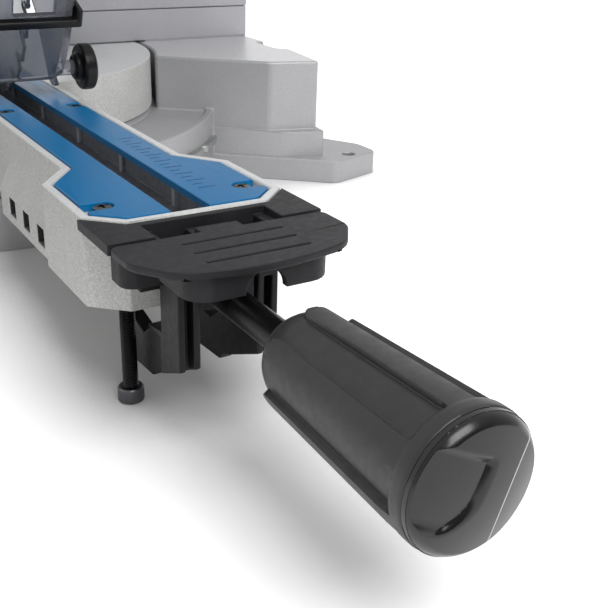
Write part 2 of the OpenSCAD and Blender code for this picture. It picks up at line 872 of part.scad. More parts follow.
// End cap: a rounded dome with a plug. Its front carries a facet on one side and a step with a
// flatter land on the other, both turned about the axis.
cap_turn = 28;
crease_x = 9;
crease_tilt = 13;
step_x = 1;
step_w = 4;
step_h = 1.5;
land_tilt = 7;
cap_r = grip_r - 0.4;
plug_r = grip_r * 0.7 - gap;
cap_side = cap_len - 5;
module handle_cap() {
  over = cap_r + 1;
  facet_low = cap_len - 1 - (over - crease_x) * tan(crease_tilt);
  land_low = cap_len - step_h - (over - step_x - step_w) * tan(land_tilt);
  color(black)
    translate([0, grip_end, rod_h])
      rotate([90, 0, 0])
        difference() {
          rotate_extrude()
            polygon(concat([[0, -2], [plug_r, -2], [plug_r, 0], [cap_r, 0], [cap_r, cap_side]],
              arc([cap_r - cap_round, cap_side], cap_round, 6, 66, 6),
              [[grip_r * 0.45, cap_len - 0.6], [0, cap_len]]));
          rotate(-cap_turn) {
            plate_y([[crease_x, cap_len - 1], [over, facet_low], [over, cap_len + 1],
              [crease_x, cap_len + 1]], -over, over);
            plate_y([[-step_x, cap_len + 1], [-over, cap_len + 1], [-over, land_low],
              [-step_x - step_w, cap_len - step_h], [-step_x, cap_len]], -over, over);
          }
        }
}

// Tilting arm: disc on the tilt shaft, column leaning back, and the sleeve block for the rails
column_half = 28;
column_knee = chop_c[1] - chop_r - 6;
module bevel_arm() {
  color(cast_grey)
    difference() {
      union() {
        bar_y([0, axis_h], trunnion_r, disc_y, disc_end);
        plate_x([[disc_y, axis_h], [disc_end, axis_h], [disc_end, axis_h + 26],
          [sleeve_end - 8, rail_z - 62],
          [sleeve_end - 8, rail_z - rail_r], [sleeve_y + 1, rail_z - rail_r],
          [sleeve_y + 1, column_knee], [disc_y, axis_h + 20]], -column_half, column_half);
        plate_y([[-sleeve_half, rail_z - 8], [8 - sleeve_half, rail_z - rail_r - bush_t - 6],
          [sleeve_half - 8, rail_z - rail_r - bush_t - 6], [sleeve_half, rail_z - 8],
          [sleeve_half, rail_z + 8], [sleeve_half - 8, rail_z + rail_r + bush_t + 6],
          [8 - sleeve_half, rail_z + rail_r + bush_t + 6], [-sleeve_half, rail_z + 8]],
          sleeve_y, sleeve_end);
      }
      bar_y([0, axis_h], shaft_r + running, disc_y - 1, disc_end + 1);
      both_sides() {
        bar_y([rail_x, rail_z], rail_r + bush_t, sleeve_y - 1, sleeve_end + 1);
        plate_x([[disc_end + 2, axis_h + 36], [sleeve_end - 16, rail_z - 58],
          [sleeve_end - 16, rail_z - 34], [sleeve_y + 9, rail_z - 34],
          [sleeve_y + 9, column_knee - 6]], column_half - 20, column_half + 1);
      }
      bar_x([slide_knob_y, rail_z], stud_r + running, rail_x + rail_r, sleeve_half + 1);
    }
}
slide_knob_y = sleeve_y + sleeve_len / 2;
module slide_bushes() {
  color([0.85, 0.83, 0.75])
    both_sides()
      for (y = [sleeve_y + 2, sleeve_end - 2 - bush_len])
        difference() {
          bar_y([rail_x, rail_z], rail_r + bush_t, y, y + bush_len);
          bar_y([rail_x, rail_z], rail_r + running, y - 1, y + bush_len + 1);
        }
}
module slide_lock_knob() {
  color(black) {
    bar_x([slide_knob_y, rail_z], stud_r, rail_x + rail_r + seat, sleeve_half + 3);
    difference() {
      bar_x([slide_knob_y, rail_z], knob_r, sleeve_half + seat, sleeve_half + 20);
      for (a = [0:60:300])
        bar_x([slide_knob_y, rail_z] + (knob_r + 3) * [cos(a), sin(a)], 6,
          sleeve_half + 6, sleeve_half + 21);
    }
  }
}
lever_arm = 50;
module bevel_lock_lever() {
  color(black)
    difference() {
      union() {
        bar_y([0, axis_h], 17, lever_y, lever_y + 14);
        plate_y([[0, axis_h - 8], [lever_arm, axis_h - 6], [lever_arm, axis_h + 6],
          [0, axis_h + 8]], lever_y + 2, lever_y + 12);
        bar_y([lever_arm, axis_h], 9, lever_y + 1, lever_y + 13);
      }
      bar_y([0, axis_h], shaft_r + running, lever_y - 1, lever_y + 20);
    }
}

// Slide carriage: two tubes, their rear bracket and the head bracket with the chop ears
module slide_rails() {
  color(bright)
    both_sides()
      difference() {
        bar_y([rail_x, rail_z], rail_r, rail_start, rail_end - 4);
        bar_y([rail_x, rail_z], rail_r - rail_wall, rail_start - 1, rail_end);
      }
}
module rear_rail_bracket() {
  color(black)
    difference() {
      union() {
        both_sides()
          bar_y([rail_x, rail_z], rail_r + 5, rail_end - 18, rail_end);
        box([-rail_x, rail_end - 18, rail_z - 9], [rail_x, rail_end, rail_z + 9]);
      }
      both_sides()
        bar_y([rail_x, rail_z], rail_r + running, rail_end - 19, rail_end - 4);
    }
}
module head_bracket() {
  color(cast_grey)
    difference() {
      union() {
        both_sides() {
          bar_x(chop_c, chop_r, boss_half + gap, ear_out);
          plate_x([[pivot_y - 4, chop_c[1] - chop_r + 0.5], [bracket_end, chop_c[1] - chop_r + 4],
            [bracket_end, rail_z + rail_r + 6], [bracket_y, rail_z + rail_r + 6],
            [pivot_y, chop_c[1] + chop_r - 0.5]], boss_half + gap, ear_out);
          bar_y([rail_x, rail_z], rail_r + 6, bracket_y, bracket_end);
        }
        box([-ear_out, bracket_y, chop_c[1] - chop_r + 4], [ear_out, bracket_end, rail_z + rail_r + 6]);
      }
      both_sides()
        bar_y([rail_x, rail_z], rail_r + running, rail_start, bracket_end + 1);
      bar_x(chop_c, chop_bore + running, -ear_out - 1, ear_out + 1);
      bar_x(lock_c, lock_r + running, -ear_out - 1, -boss_half + 1);
    }
}
lock_c = chop_c + [9.5, 9.5];
lock_r = 3.5;
module lock_down_pin() {
  color(black) {
    bar_x(lock_c, lock_r, -ear_out - 6, -boss_half - gap);
    bar_x(lock_c, 7, -ear_out - 18, -ear_out - 1);
  }
}

// Head: blade housing, arm with the chop boss, gear housing and the spindle nose
arm_side = [[blade_y + 70, blade_z + 24], [pivot_y - 6, chop_c[1] - chop_r + 1],
  [pivot_y, chop_c[1] - chop_r], [pivot_y, chop_c[1] + chop_r],
  [pivot_y - 14, chop_c[1] + chop_r + 5], [blade_y + 98, blade_z + 78], [blade_y + 70, blade_z + 88]];
arm_side_half = 15;
module upper_half(r, half) {
  difference() {
    bar_x(blade_c, r, -half, half);
    translate([0, blade_y, blade_z])
      rotate([-shell_tilt, 0, 0])
        box([-half - 1, -2 * r, -2 * r], [half + 1, 2 * r, 0]);
  }
}
module head_casting() {
  color(cast_grey)
    difference() {
      union() {
        difference() {
          union() {
            upper_half(shell_r, shell_out);
            plate_x(arm_side, -arm_side_half, arm_side_half);
          }
          bar_x(blade_c, shell_in, -shell_half, shell_half);
          dust_axis()
            cylinder(r = dust_r - 4, h = 60, center = true);
        }
        bar_x(chop_c, chop_r, -boss_half, boss_half);
        bar_x(blade_c, nose_r, nose_in, shell_out + eps);
        bar_x(blade_c, gear_wall, shell_out, housing_x);
        bar_x(motor_c, motor_r + 2, shell_out, housing_x);
      }
      // Room for the gears, the spindle and the armature shaft
      bar_x(blade_c, gear_room, gear_x - 2, housing_x + 1);
      bar_x(motor_c, pinion_r + 3, gear_x - 2, housing_x + 1);
      bar_x(blade_c, bearing_r, nose_in + 3, gear_x);
      bar_x(blade_c, spindle_r + 1, nose_in - 1, gear_x);
      // Chop bore with the room for the return spring
      bar_x(chop_c, chop_bore + running, -boss_half - 1, boss_half + 1);
      bar_x(chop_c, chop_r - 4, 2, boss_half + 1);
      bar_x(lock_c, lock_r + running, -boss_half - 1, -boss_half + 9);
      bar_y([lock_x, blade_z], button_r + running, blade_y - gear_wall - 1, blade_y - gear_room + 2);
    }
}
module gear_cover() {
  color(black)
    difference() {
      union() {
        bar_x(blade_c, gear_wall, housing_x, motor_x);
        bar_x(motor_c, motor_r + 2, housing_x, motor_x);
        bar_x(blade_c, bearing_r + 4, housing_x - 9, housing_x + eps);
      }
      bar_x(motor_c, shaft_m + 5, housing_x - 1, motor_x + 1);
      bar_x(blade_c, bearing_r, housing_x - 10, motor_x - 3);
    }
}

// Motor: ribbed housing, end cap with air slots, brush caps and the parts inside
module motor_housing() {
  color(black)
    difference() {
      union() {
        bar_x(motor_c, motor_r, motor_x, motor_end);
        for (i = [2:4])
          bar_x(motor_c, motor_r + 1.2, motor_x + i * motor_len / 6,
            motor_x + i * motor_len / 6 + 3);
      }
      bar_x(motor_c, motor_r - motor_wall, motor_x - 1, motor_end + 1);
      for (s = [-1, 1])
        bar_z([brush_x, motor_c[0]], brush_r + running, motor_c[1] + s * motor_r - 6,
          motor_c[1] + s * motor_r + 6);
    }
}
vent_w = 4;
vents = 9;
module motor_end_cap() {
  color(black)
    difference() {
      union() {
        bar_x(motor_c, motor_r, motor_end + eps, motor_end + cap_depth - 6);
        translate([motor_end + cap_depth - 6.01, motor_c[0], motor_c[1]])
          rotate([0, 90, 0])
            cylinder(r1 = motor_r, r2 = motor_r - 6, h = 6);
      }
      bar_x(motor_c, motor_r - motor_wall - 2, motor_end - 1, motor_end + cap_depth - 5);
      for (i = [0:vents - 1])
        translate([0, motor_c[0], motor_c[1]])
          rotate([i * 360 / vents, 0, 0])
            box([motor_end + 6, -vent_w / 2, motor_r - 9],
              [motor_end + cap_depth - 9, vent_w / 2, motor_r + 1]);
      bar_x(motor_c, shaft_m + running, motor_end, motor_end + cap_depth - 3);
    }
}
brush_x = motor_end - 16;
brush_r = 8;
module brush_caps() {
  color(dark_grey)
    for (s = [-1, 1])
      difference() {
        bar_z([brush_x, motor_c[0]], brush_r, motor_c[1] + s * motor_r - 3, motor_c[1] + s * motor_r + 3);
        box([brush_x - 6, motor_c[0] - 0.8, motor_c[1] + s * (motor_r + 3) - 1],
          [brush_x + 6, motor_c[0] + 0.8, motor_c[1] + s * (motor_r + 3) + 1]);
      }
}
module motor_stator() {
  color(steel)
    difference() {
      bar_x(motor_c, motor_r - motor_wall - seat, field_start, field_end);
      bar_x(motor_c, armature_r + 1, field_start - 1, field_end + 1);
    }
}
module motor_armature() {
  color([0.72, 0.45, 0.25]) {
    bar_x(motor_c, shaft_m, gear_x, motor_end + cap_depth - 3.5);
    bar_x(motor_c, pinion_r, gear_x, gear_x + gear_w);
    bar_x(motor_c, armature_r, field_start + 2, field_end - 2);
  }
}
module bearing(c, r_in, r_out, x0, x1) {
  difference() {
    bar_x(c, r_out - running, x0, x1);
    bar_x(c, r_in + running, x0 - 1, x1 + 1);
  }
}
module spindle_bearings() {
  color(steel) {
    bearing(blade_c, spindle_r, bearing_r, nose_in + 3, nose_in + 11);
    bearing(blade_c, spindle_r, bearing_r, housing_x - 8, motor_x - 3.5);
    bearing(motor_c, shaft_m, shaft_m + 5, housing_x, motor_x);
  }
}
module spindle() {
  color(steel) {
    bar_x(blade_c, spindle_r, kerf_half + flange_t - eps, motor_x - 3.5);
    bar_x(blade_c, gear_r, gear_x, gear_x + gear_w);
    bar_x(blade_c, blade_bore / 2 - running, -blade_t / 2, kerf_half + flange_t);
  }
}

// Blade with a gullet and a wide tip at every tooth, on its flanges and arbor bolt
module saw_blade() {
  color(bright)
    translate([0, blade_y, blade_z])
      rotate([90, 0, 90])
        translate([0, 0, -blade_t / 2])
          linear_extrude(blade_t)
            difference() {
              circle(r = blade_r);
              circle(r = blade_bore / 2);
              for (i = [0:teeth - 1])
                rotate(i * 360 / teeth)
                  polygon([[blade_r - gullet, 0], [blade_r + 1, 1], [blade_r + 1, tooth_gap],
                    [blade_r - gullet, gullet / 2]]);
            }
}
module blade_flanges() {
  color(steel) {
    difference() {
      bar_x(blade_c, flange_r, blade_t / 2, blade_t / 2 + flange_t);
      bar_x(blade_c, blade_bore / 2, 0, blade_t / 2 + flange_t + 1);
    }
    difference() {
      bar_x(blade_c, flange_r, -blade_t / 2 - flange_t, -blade_t / 2);
      bar_x(blade_c, 4.2, -blade_t / 2 - flange_t - 1, 0);
    }
  }
}
module arbor_bolt() {
  color(dark_grey) {
    bar_x(blade_c, 4, -blade_t / 2 - flange_t - 1, -blade_t / 2 - eps);
    translate([-blade_t / 2 - flange_t - 7, blade_y, blade_z])
      rotate([0, 90, 0])
        cylinder(r = 7.5, h = 7, $fn = 6);
  }
}

// Lower guard: clear drum sector with a hub on the guard ring, a window and corner cuts at its lip
module guard_sector(r, x0, x1) {
  intersection() {
    bar_x(blade_c, r, x0, x1);
    translate([0, blade_y, blade_z])
      rotate([lip_a, 0, 0])
        box([x0 - 1, -2 * r, 0], [x1 + 1, 2 * r, 2 * r]);
  }
}
module lower_guard() {
  color(smoke) {
    difference() {
      union() {
        guard_sector(guard_r, -guard_half, guard_half);
        bar_x(blade_c, ring_r + 12, guard_half - guard_wall, guard_half);
        both_sides()
          plate_x(ear_plan, guard_half - guard_wall, guard_half);
      }
      bar_x(blade_c, guard_in, guard_wall - guard_half, guard_half - guard_wall);
      bar_x(blade_c, ring_r + 8, -guard_half - 1, 0);
      bar_x(blade_c, ring_r + running, 0, guard_half + 1);
      // Window through the rim above the lip, and the lip's cut corners
      translate([0, blade_y, blade_z])
        rotate([lip_a - window_a, 0, 0])
          box([-window_half, -guard_r - 1, -5], [window_half, 1 - guard_in, 5]);
      both_sides()
        translate([lip_half, blade_y, blade_z])
          rotate([lip_a, 0, 0])
            translate([0, -guard_r, 0])
              rotate([0, -45, 0])
                box([0, -1, -10], [20, guard_r - guard_in + 1, 0]);
    }
    both_sides()
      bar_x(roller_c, roller_pin, guard_half - eps, roller_in + roller_w + 2);
  }
}
module guard_bar() {
  color(black)
    translate([0, blade_y, blade_z])
      rotate([lip_a - window_a, 0, 0])
        difference() {
          union() {
            box([-guard_half - 3, -guard_r - 5, -9], [guard_half + 3, -guard_r - 0.1, -5]);
            for (s = [-1, 1])
              box([s * (guard_half + 1.6) - 1.4, -guard_r - 5, -9],
                [s * (guard_half + 1.6) + 1.4, -guard_r + 6, 0.5]);
          }
          bar_x([0, 0], guard_r + 0.1, -guard_half - seat, guard_half + seat);
        }
}
module guard_ring() {
  color(black)
    difference() {
      union() {
        bar_x(blade_c, ring_r, guard_half - guard_wall - 1, guard_half + gap);
        bar_x(blade_c, ring_r + 5, guard_half - guard_wall - 2, guard_half - guard_wall - gap);
      }
      bar_x(blade_c, nose_r + running, 0, shell_half);
    }
}
module roller() {
  difference() {
    union() {
      bar_x(roller_c, roller_r, roller_in, roller_in + roller_w);
      bar_x(roller_c, roller_pin + 3, roller_in - 3, roller_in + roller_w + 1);
    }
    bar_x(roller_c, roller_pin + running, roller_in - 4, roller_in + roller_w + 2);
  }
}
module roller_left() {
  color(black)
    mirror([1, 0, 0])
      roller();
}
module roller_right() {
  color(black)
    roller();
}

// D handle in two shells, on top of the blade housing
handle_c = blade_c + [-34, shell_r + 36];
handle_half = 16;
handle_loop = [[-50, -34], [62, -34], [46, 34], [-54, 14]];
handle_bar = 14.5;
handle_round = 22;
finger_round = 10;
module handle_shell(x0, x1) {
  loop = [for (q = handle_loop) handle_c + q];
  difference() {
    plate_x(rounded(inset(loop, -handle_bar), handle_round, 8), x0, x1);
    plate_x(rounded(inset(loop, handle_bar), finger_round, 6), x0 - 1, x1 + 1);
    bar_x(blade_c, shell_r, x0 - 1, x1 + 1);
  }
}
trigger_c = handle_c + [-22, 10];
module main_handle_left() {
  color(black)
    difference() {
      handle_shell(-handle_half, 0);
      bar_x(button_at, button_r + running, -handle_half - 1, -handle_half + 8);
      box([-trigger_half - gap, trigger_c[0] - 15, trigger_c[1] - 14],
        [1, trigger_c[0] + 26, trigger_c[1] + 14]);
    }
}
module main_handle_right() {
  color(black)
    difference() {
      handle_shell(0, handle_half);
      box([-1, trigger_c[0] - 15, trigger_c[1] - 14],
        [trigger_half + gap, trigger_c[0] + 26, trigger_c[1] + 14]);
    }
}
trigger_half = 6.5;
module trigger() {
  color(dark_grey)
    plate_x([trigger_c + [-12, 5], trigger_c + [-10, -9], trigger_c + [0, -13], trigger_c + [18, -11],
      trigger_c + [22, 5]], -trigger_half, trigger_half);
}
button_at = handle_c + [30, 36];
button_r = 5;
module lock_off_button() {
  color(dark_grey)
    bar_x(button_at, button_r, -handle_half - 4, -handle_half + 3);
}
lock_x = gear_x + gear_w + 7;
module spindle_lock_button() {
  color(black)
    bar_y([lock_x, blade_z], button_r, blade_y - gear_wall - 6, blade_y - gear_room + 1);
}

// Dust port and cord inlet
dust_r = 19;
dust_a = 118;
dust_rise = 40;
dust_len = 48;
hose_len = 28;
module dust_axis() {
  translate([0, blade_y - (shell_r - 10) * cos(dust_a), blade_z + (shell_r - 10) * sin(dust_a)])
    rotate([dust_rise - 90, 0, 0])
      children();
}
module dust_port() {
  color(black)
    difference() {
      dust_axis()
        difference() {
          cylinder(r = dust_r, h = dust_len);
          cylinder(r = dust_r - 4, h = 2 * dust_len, center = true);
          translate([0, 0, dust_len - hose_len])
            cylinder(r = dust_r - 3, h = hose_len + 1);
        }
      bar_x(blade_c, shell_r, -shell_out, shell_out);
    }
}
gland_c = [motor_x + 16, motor_c[1] - 6];
module cord_gland() {
  color(black)
    difference() {
      bar_y(gland_c, 8.5, motor_c[0] + motor_r - 6, motor_c[0] + motor_r + 14);
      bar_y(gland_c, 4, motor_c[0] + motor_r - 7, motor_c[0] + motor_r + 15);
      bar_x(motor_c, motor_r, motor_x, motor_end);
    }
}
module chop_pin() {
  color(steel)
    bar_x(chop_c, chop_bore, -ear_out - 0.5, ear_out + 0.5);
}
module return_spring() {
  color(steel)
    difference() {
      bar_x(chop_c, chop_r - 4 - seat, 2 + seat, boss_half - 1);
      bar_x(chop_c, chop_bore + 2, 0, boss_half + 1);
    }
}

base_casting();
detent_plate();
pivot_bolt();
fence_left();
fence_right();
fence_bolts();
sub_fence_left();
sub_fence_right();
fence_knob_left();
fence_knob_right();
turntable_casting();
kerf_plate_left();
kerf_plate_right();
kerf_screws();
front_cap();
lock_bracket();
lever_pins();
lock_shoe();
bevel_shaft();
level_screw();
detent_lever();
detent_rod();
lock_rod();
handle_grip();
handle_cap();
bevel_arm();
slide_bushes();
bevel_lock_lever();
slide_lock_knob();
slide_rails();
rear_rail_bracket();
head_bracket();
lock_down_pin();
head_casting();
gear_cover();
motor_housing();
motor_end_cap();
brush_caps();
main_handle_left();
main_handle_right();
dust_port();
cord_gland();
chop_pin();
return_spring();
motor_stator();
motor_armature();
spindle_bearings();
spindle();
saw_blade();
blade_flanges();
arbor_bolt();
guard_ring();
lower_guard();
guard_bar();
roller_left();
roller_right();
trigger();
lock_off_button();
spindle_lock_button();
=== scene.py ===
"""Looks for the sliding compound mitre saw: finishes, rounded edges, fasteners, light and camera."""
import json
import math

import bmesh
import bpy
from mathutils import Matrix, Vector

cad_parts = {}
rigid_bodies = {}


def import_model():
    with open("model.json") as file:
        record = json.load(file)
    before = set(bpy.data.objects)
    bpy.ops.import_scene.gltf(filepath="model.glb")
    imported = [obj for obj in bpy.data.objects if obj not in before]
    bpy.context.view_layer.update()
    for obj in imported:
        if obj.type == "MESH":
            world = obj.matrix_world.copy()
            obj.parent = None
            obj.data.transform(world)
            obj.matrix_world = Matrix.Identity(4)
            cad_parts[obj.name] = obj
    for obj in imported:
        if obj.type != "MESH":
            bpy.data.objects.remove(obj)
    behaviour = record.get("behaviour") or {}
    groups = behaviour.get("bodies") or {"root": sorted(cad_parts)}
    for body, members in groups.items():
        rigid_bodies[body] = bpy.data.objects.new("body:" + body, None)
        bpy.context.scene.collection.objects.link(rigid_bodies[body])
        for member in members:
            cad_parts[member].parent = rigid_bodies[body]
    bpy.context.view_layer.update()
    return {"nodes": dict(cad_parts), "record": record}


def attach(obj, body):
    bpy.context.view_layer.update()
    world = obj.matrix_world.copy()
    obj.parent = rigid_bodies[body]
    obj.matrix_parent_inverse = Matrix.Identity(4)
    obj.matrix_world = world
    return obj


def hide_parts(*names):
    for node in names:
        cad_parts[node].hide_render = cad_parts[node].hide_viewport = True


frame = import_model()
CAD_NODES = frame["nodes"]
BODY_OF = {n: b for b, nodes in frame["record"]["behaviour"]["bodies"].items() for n in nodes}
MM = 0.001


def mm(*values):
    """A point given in millimetres, in metres."""
    return Vector(values) * MM


def tone(red, green, blue):
    """A screen colour from 0 to 255 as the linear colour that a shader takes."""
    def linear(c):
        c = c / 255
        return c / 12.92 if c <= 0.04045 else ((c + 0.055) / 1.055) ** 2.4
    return (linear(red), linear(green), linear(blue), 1.0)


# Height of the table, and the axes of the lock handle, the blade and the motor
TABLE_Z = 77.0
ROD_Z = 52.0
ARBOR_Y, ARBOR_Z = -75, 173
MOTOR_Y, MOTOR_Z = -55, 223

# Face of the lock handle's end cap: where it starts, the turn of its pattern and its bowed crease
CAP_FACE_Y = -501.2
CAP_TURN = math.radians(25)
CREASE_OFF, CREASE_BOW, CREASE_MID = 7.8, 0.012, 5.0


class Nodes:
    """A node tree, with calls that add a node, set its values and link its inputs."""

    def __init__(self, tree):
        self.nodes = tree.nodes
        self.links = tree.links

    def put(self, socket, value):
        """Links a socket to another one, or gives it a value."""
        if isinstance(value, bpy.types.NodeSocket):
            self.links.new(value, socket)
        else:
            socket.default_value = value

    def add(self, kind, inputs=None, **settings):
        """Adds a node with its settings first and then its inputs."""
        node = self.nodes.new(kind)
        for key, value in settings.items():
            setattr(node, key, value)
        for key, value in (inputs or {}).items():
            self.put(node.inputs[key], value)
        return node

    def math(self, operation, a, b=0.0):
        return self.add("ShaderNodeMath", {0: a, 1: b}, operation=operation).outputs[0]

    def remap(self, value, low, high, to_low, to_high):
        """A value moved from one range to another and held at the ends."""
        return self.add("ShaderNodeMapRange", {
            "Value": value, "From Min": low, "From Max": high,
            "To Min": to_low, "To Max": to_high}).outputs["Result"]


# Finishes

# Places that a finish needs, in metres: blurred edge, milled faces, blade trough with its ribs where shade
# and highlights are painted, side vents painted dark as painted shade, the soft bar of the D handle, and
# half the painted highlight line along the end cap's crease from its core to its edge
BLUR = 0.0004
MILLED_Z = (0.0762, 0.0775)
TROUGH_X, TROUGH_Z = (-0.0143, 0.0143), (0.0615, 0.0738)
TROUGH_RIB_X, TROUGH_RIB_WIDE = 0.0119, 0.003
TROUGH_RIB_ROW, TROUGH_RIB_PITCH = 0.308, 0.056
VENT_X, VENT_Z, VENT_FRONT = (-0.0332, -0.027), (0.0428, 0.0512), -0.33
SOFT_BAR_Y, SOFT_BAR_Z = (-0.19, -0.088), (0.339, 0.39)
CREASE_GLINT = (0.00012, 0.00032)


class Finish(Nodes):
    """A material, with the few node calls that its recipe needs. Patterns read Object coordinates."""

    def __init__(self, name, colour, roughness, metallic=0.0, **sockets):
        self.mat = bpy.data.materials.new(name)
        self.mat.use_nodes = True
        super().__init__(self.mat.node_tree)
        self.shader = self.nodes["Principled BSDF"]
        self.set("Base Color", colour)
        self.set("Roughness", roughness)
        self.set("Metallic", metallic)
        for key, value in sockets.items():
            self.set(key.replace("_", " "), value)
        where = self.nodes.new("ShaderNodeTexCoord")
        self.place = where.outputs["Object"]
        self.facing = where.outputs["Normal"]
        self.relief = None

    def set(self, socket, value):
        self.put(self.shader.inputs[socket], value)

    def now(self, socket):
        """What feeds a socket of the shader so far."""
        return self.shader.inputs[socket].links[0].from_socket

    def noise(self, scale, detail=4.0, roughness=0.55, stretch=None):
        place = self.place
        if stretch:
            place = self.add("ShaderNodeMapping", {"Vector": place, "Scale": stretch}).outputs[0]
        node = self.add("ShaderNodeTexNoise", {
            "Vector": place, "Scale": scale, "Detail": detail, "Roughness": roughness})
        return node.outputs["Fac"]

    def axis(self, name, source=None):
        """One coordinate of the object's own place, or of another vector."""
        return self.add("ShaderNodeSeparateXYZ", {0: source or self.place}).outputs[name]

    def within(self, name, low, high, soft=BLUR):
        """1 where a coordinate lies between two values in metres, 0 elsewhere."""
        value = self.axis(name)
        above = self.remap(value, low - soft, low + soft, 0.0, 1.0)
        below = self.remap(value, high - soft, high + soft, 1.0, 0.0)
        return self.math("MULTIPLY", above, below)

    def blend(self, factor, a, b):
        """A colour between two others."""
        return self.add("ShaderNodeMix", {0: factor, 6: a, 7: b}, data_type="RGBA").outputs[2]

    def bump(self, height, strength, depth_mm):
        """Adds relief to what is there already."""
        inputs = {"Height": height, "Strength": strength, "Distance": depth_mm * MM}
        if self.relief:
            inputs["Normal"] = self.relief
        self.relief = self.add("ShaderNodeBump", inputs).outputs["Normal"]
        self.set("Normal", self.relief)


def cast_metal(name, light, dark, shine, grain, contrast):
    """Blasted aluminium casting: fine specks, faint clouds and a slightly uneven skin."""
    f = Finish(name, light, 0.5, shine)
    fine = f.noise(1500 * grain, 5.0, 0.7)
    speck = f.remap(fine, 0.36, 0.64, 0.0, 1.0)
    cloud = f.remap(f.noise(55, 3.0), 0.3, 0.7, 0.0, 1.0)
    skin = f.blend(f.remap(speck, 0.0, 1.0, 1.0 - contrast, 1.0), dark, light)
    skin = f.blend(f.remap(cloud, 0.0, 1.0, 0.0, 0.16), skin, dark)
    f.set("Base Color", skin)
    f.set("Roughness", f.remap(speck, 0.0, 1.0, 0.6, 0.46))
    f.bump(fine, 0.4 * contrast, 0.22)
    f.bump(f.noise(180, 2.0), 0.12, 0.5)
    return f


def milled(f, colour):
    """Adds milled faces to a casting: bright, with fine tool lines, where it faces up at table height."""
    up = f.remap(f.axis("Z", f.facing), 0.9, 0.97, 0.0, 1.0)
    face = f.math("MULTIPLY", up, f.within("Z", *MILLED_Z))
    lines = f.noise(600, 2.0, 0.5, stretch=(3.0, 0.25, 1.0))
    skin = f.blend(f.remap(lines, 0.3, 0.7, 0.0, 0.3), colour, tone(176, 177, 178))
    f.set("Base Color", f.blend(face, f.now("Base Color"), skin))
    f.set("Roughness", f.add("ShaderNodeMix", {0: face, 2: f.now("Roughness"), 3: 0.34}).outputs[0])
    return f


def arm_metal():
    """The turntable's casting: milled rim, a blade trough darkened with painted shade, its ribs painted pale
    as painted highlights, and side vents painted dark as painted shade.
    """
    f = milled(cast_metal("arm_casting", tone(224, 224, 221), tone(156, 156, 154), 0.1, 0.85, 0.6),
               tone(232, 233, 234))
    # Painted shade: the blade trough is darkened to grey, and its ribs are painted pale as painted
    # highlights
    shaded_trough = f.math("MULTIPLY", f.within("X", *TROUGH_X), f.within("Z", *TROUGH_Z))
    wall = f.math("GREATER_THAN", f.math("ABSOLUTE", f.axis("X")), TROUGH_RIB_X)
    row = f.math("MODULO", f.math("ADD", f.axis("Y"), TROUGH_RIB_ROW), TROUGH_RIB_PITCH)
    lit_rib = f.math("MULTIPLY", f.remap(row, -BLUR, 0.0, 0.0, 1.0),
                 f.remap(row, TROUGH_RIB_WIDE, TROUGH_RIB_WIDE + BLUR, 1.0, 0.0))
    # Painted shade: the side vents are painted dark
    shaded_vents = f.math("MULTIPLY", f.within("X", *VENT_X, BLUR / 4), f.within("Z", *VENT_Z))
    shaded_vents = f.math("MULTIPLY", shaded_vents, f.math("GREATER_THAN", f.axis("Y"), VENT_FRONT))
    shade = f.blend(f.remap(f.noise(300), 0.35, 0.65, 0.0, 1.0), tone(136, 136, 139), tone(158, 158, 161))
    shade = f.blend(f.math("MULTIPLY", lit_rib, wall), shade, tone(206, 206, 208))
    skin = f.blend(shaded_trough, f.now("Base Color"), shade)
    f.set("Base Color", f.blend(shaded_vents, skin, tone(52, 52, 54)))
    return f


def painted_plate():
    """Blue powder paint with a fine orange peel and faint rubbed streaks along the arm."""
    f = Finish("blue_paint", tone(0, 112, 170), 0.36, 0.0, Specular_IOR_Level=0.36)
    rub = f.remap(f.noise(130, 3.0, 0.6, stretch=(2.5, 0.3, 1.0)), 0.35, 0.75, 0.0, 1.0)
    f.set("Base Color", f.blend(f.math("MULTIPLY", rub, 0.4), tone(0, 108, 164), tone(2, 125, 183)))
    f.set("Roughness", f.remap(rub, 0.0, 1.0, 0.3, 0.4))
    f.bump(f.noise(1700, 3.0), 0.08, 0.2)
    return f


def moulded(name, colour, pale, roughness, grain, peak=0.35):
    """Moulded plastic with an eroded-tool grain, a little dust in it and uneven shine."""
    f = Finish(name, colour, roughness, Specular_IOR_Level=0.25)
    dust = f.remap(f.noise(90, 4.0, 0.65), 0.42, 0.72, 0.0, 1.0)
    f.set("Base Color", f.blend(f.math("MULTIPLY", dust, 0.5), colour, pale))
    f.set("Roughness", f.remap(f.noise(400, 3.0), 0.3, 0.7, roughness - 0.06, roughness + 0.06))
    f.bump(f.noise(grain, 4.0, 0.6), peak, 0.15)
    return f


def rubber():
    """Soft black rubber, chalky in places, with fine pores."""
    f = Finish("soft_rubber", tone(26, 26, 28), 0.5, Sheen_Weight=0.05, Sheen_Roughness=0.5,
               Specular_IOR_Level=0.55)
    chalk = f.remap(f.noise(70, 5.0, 0.7), 0.45, 0.8, 0.0, 1.0)
    f.set("Base Color", f.blend(f.math("MULTIPLY", chalk, 0.6), tone(22, 22, 24), tone(34, 34, 36)))
    f.set("Roughness", f.remap(f.noise(240, 4.0), 0.3, 0.7, 0.36, 0.5))
    f.bump(f.noise(1200, 3.0, 0.6), 0.3, 0.16)
    f.bump(f.noise(60, 2.0), 0.05, 0.6)
    return f


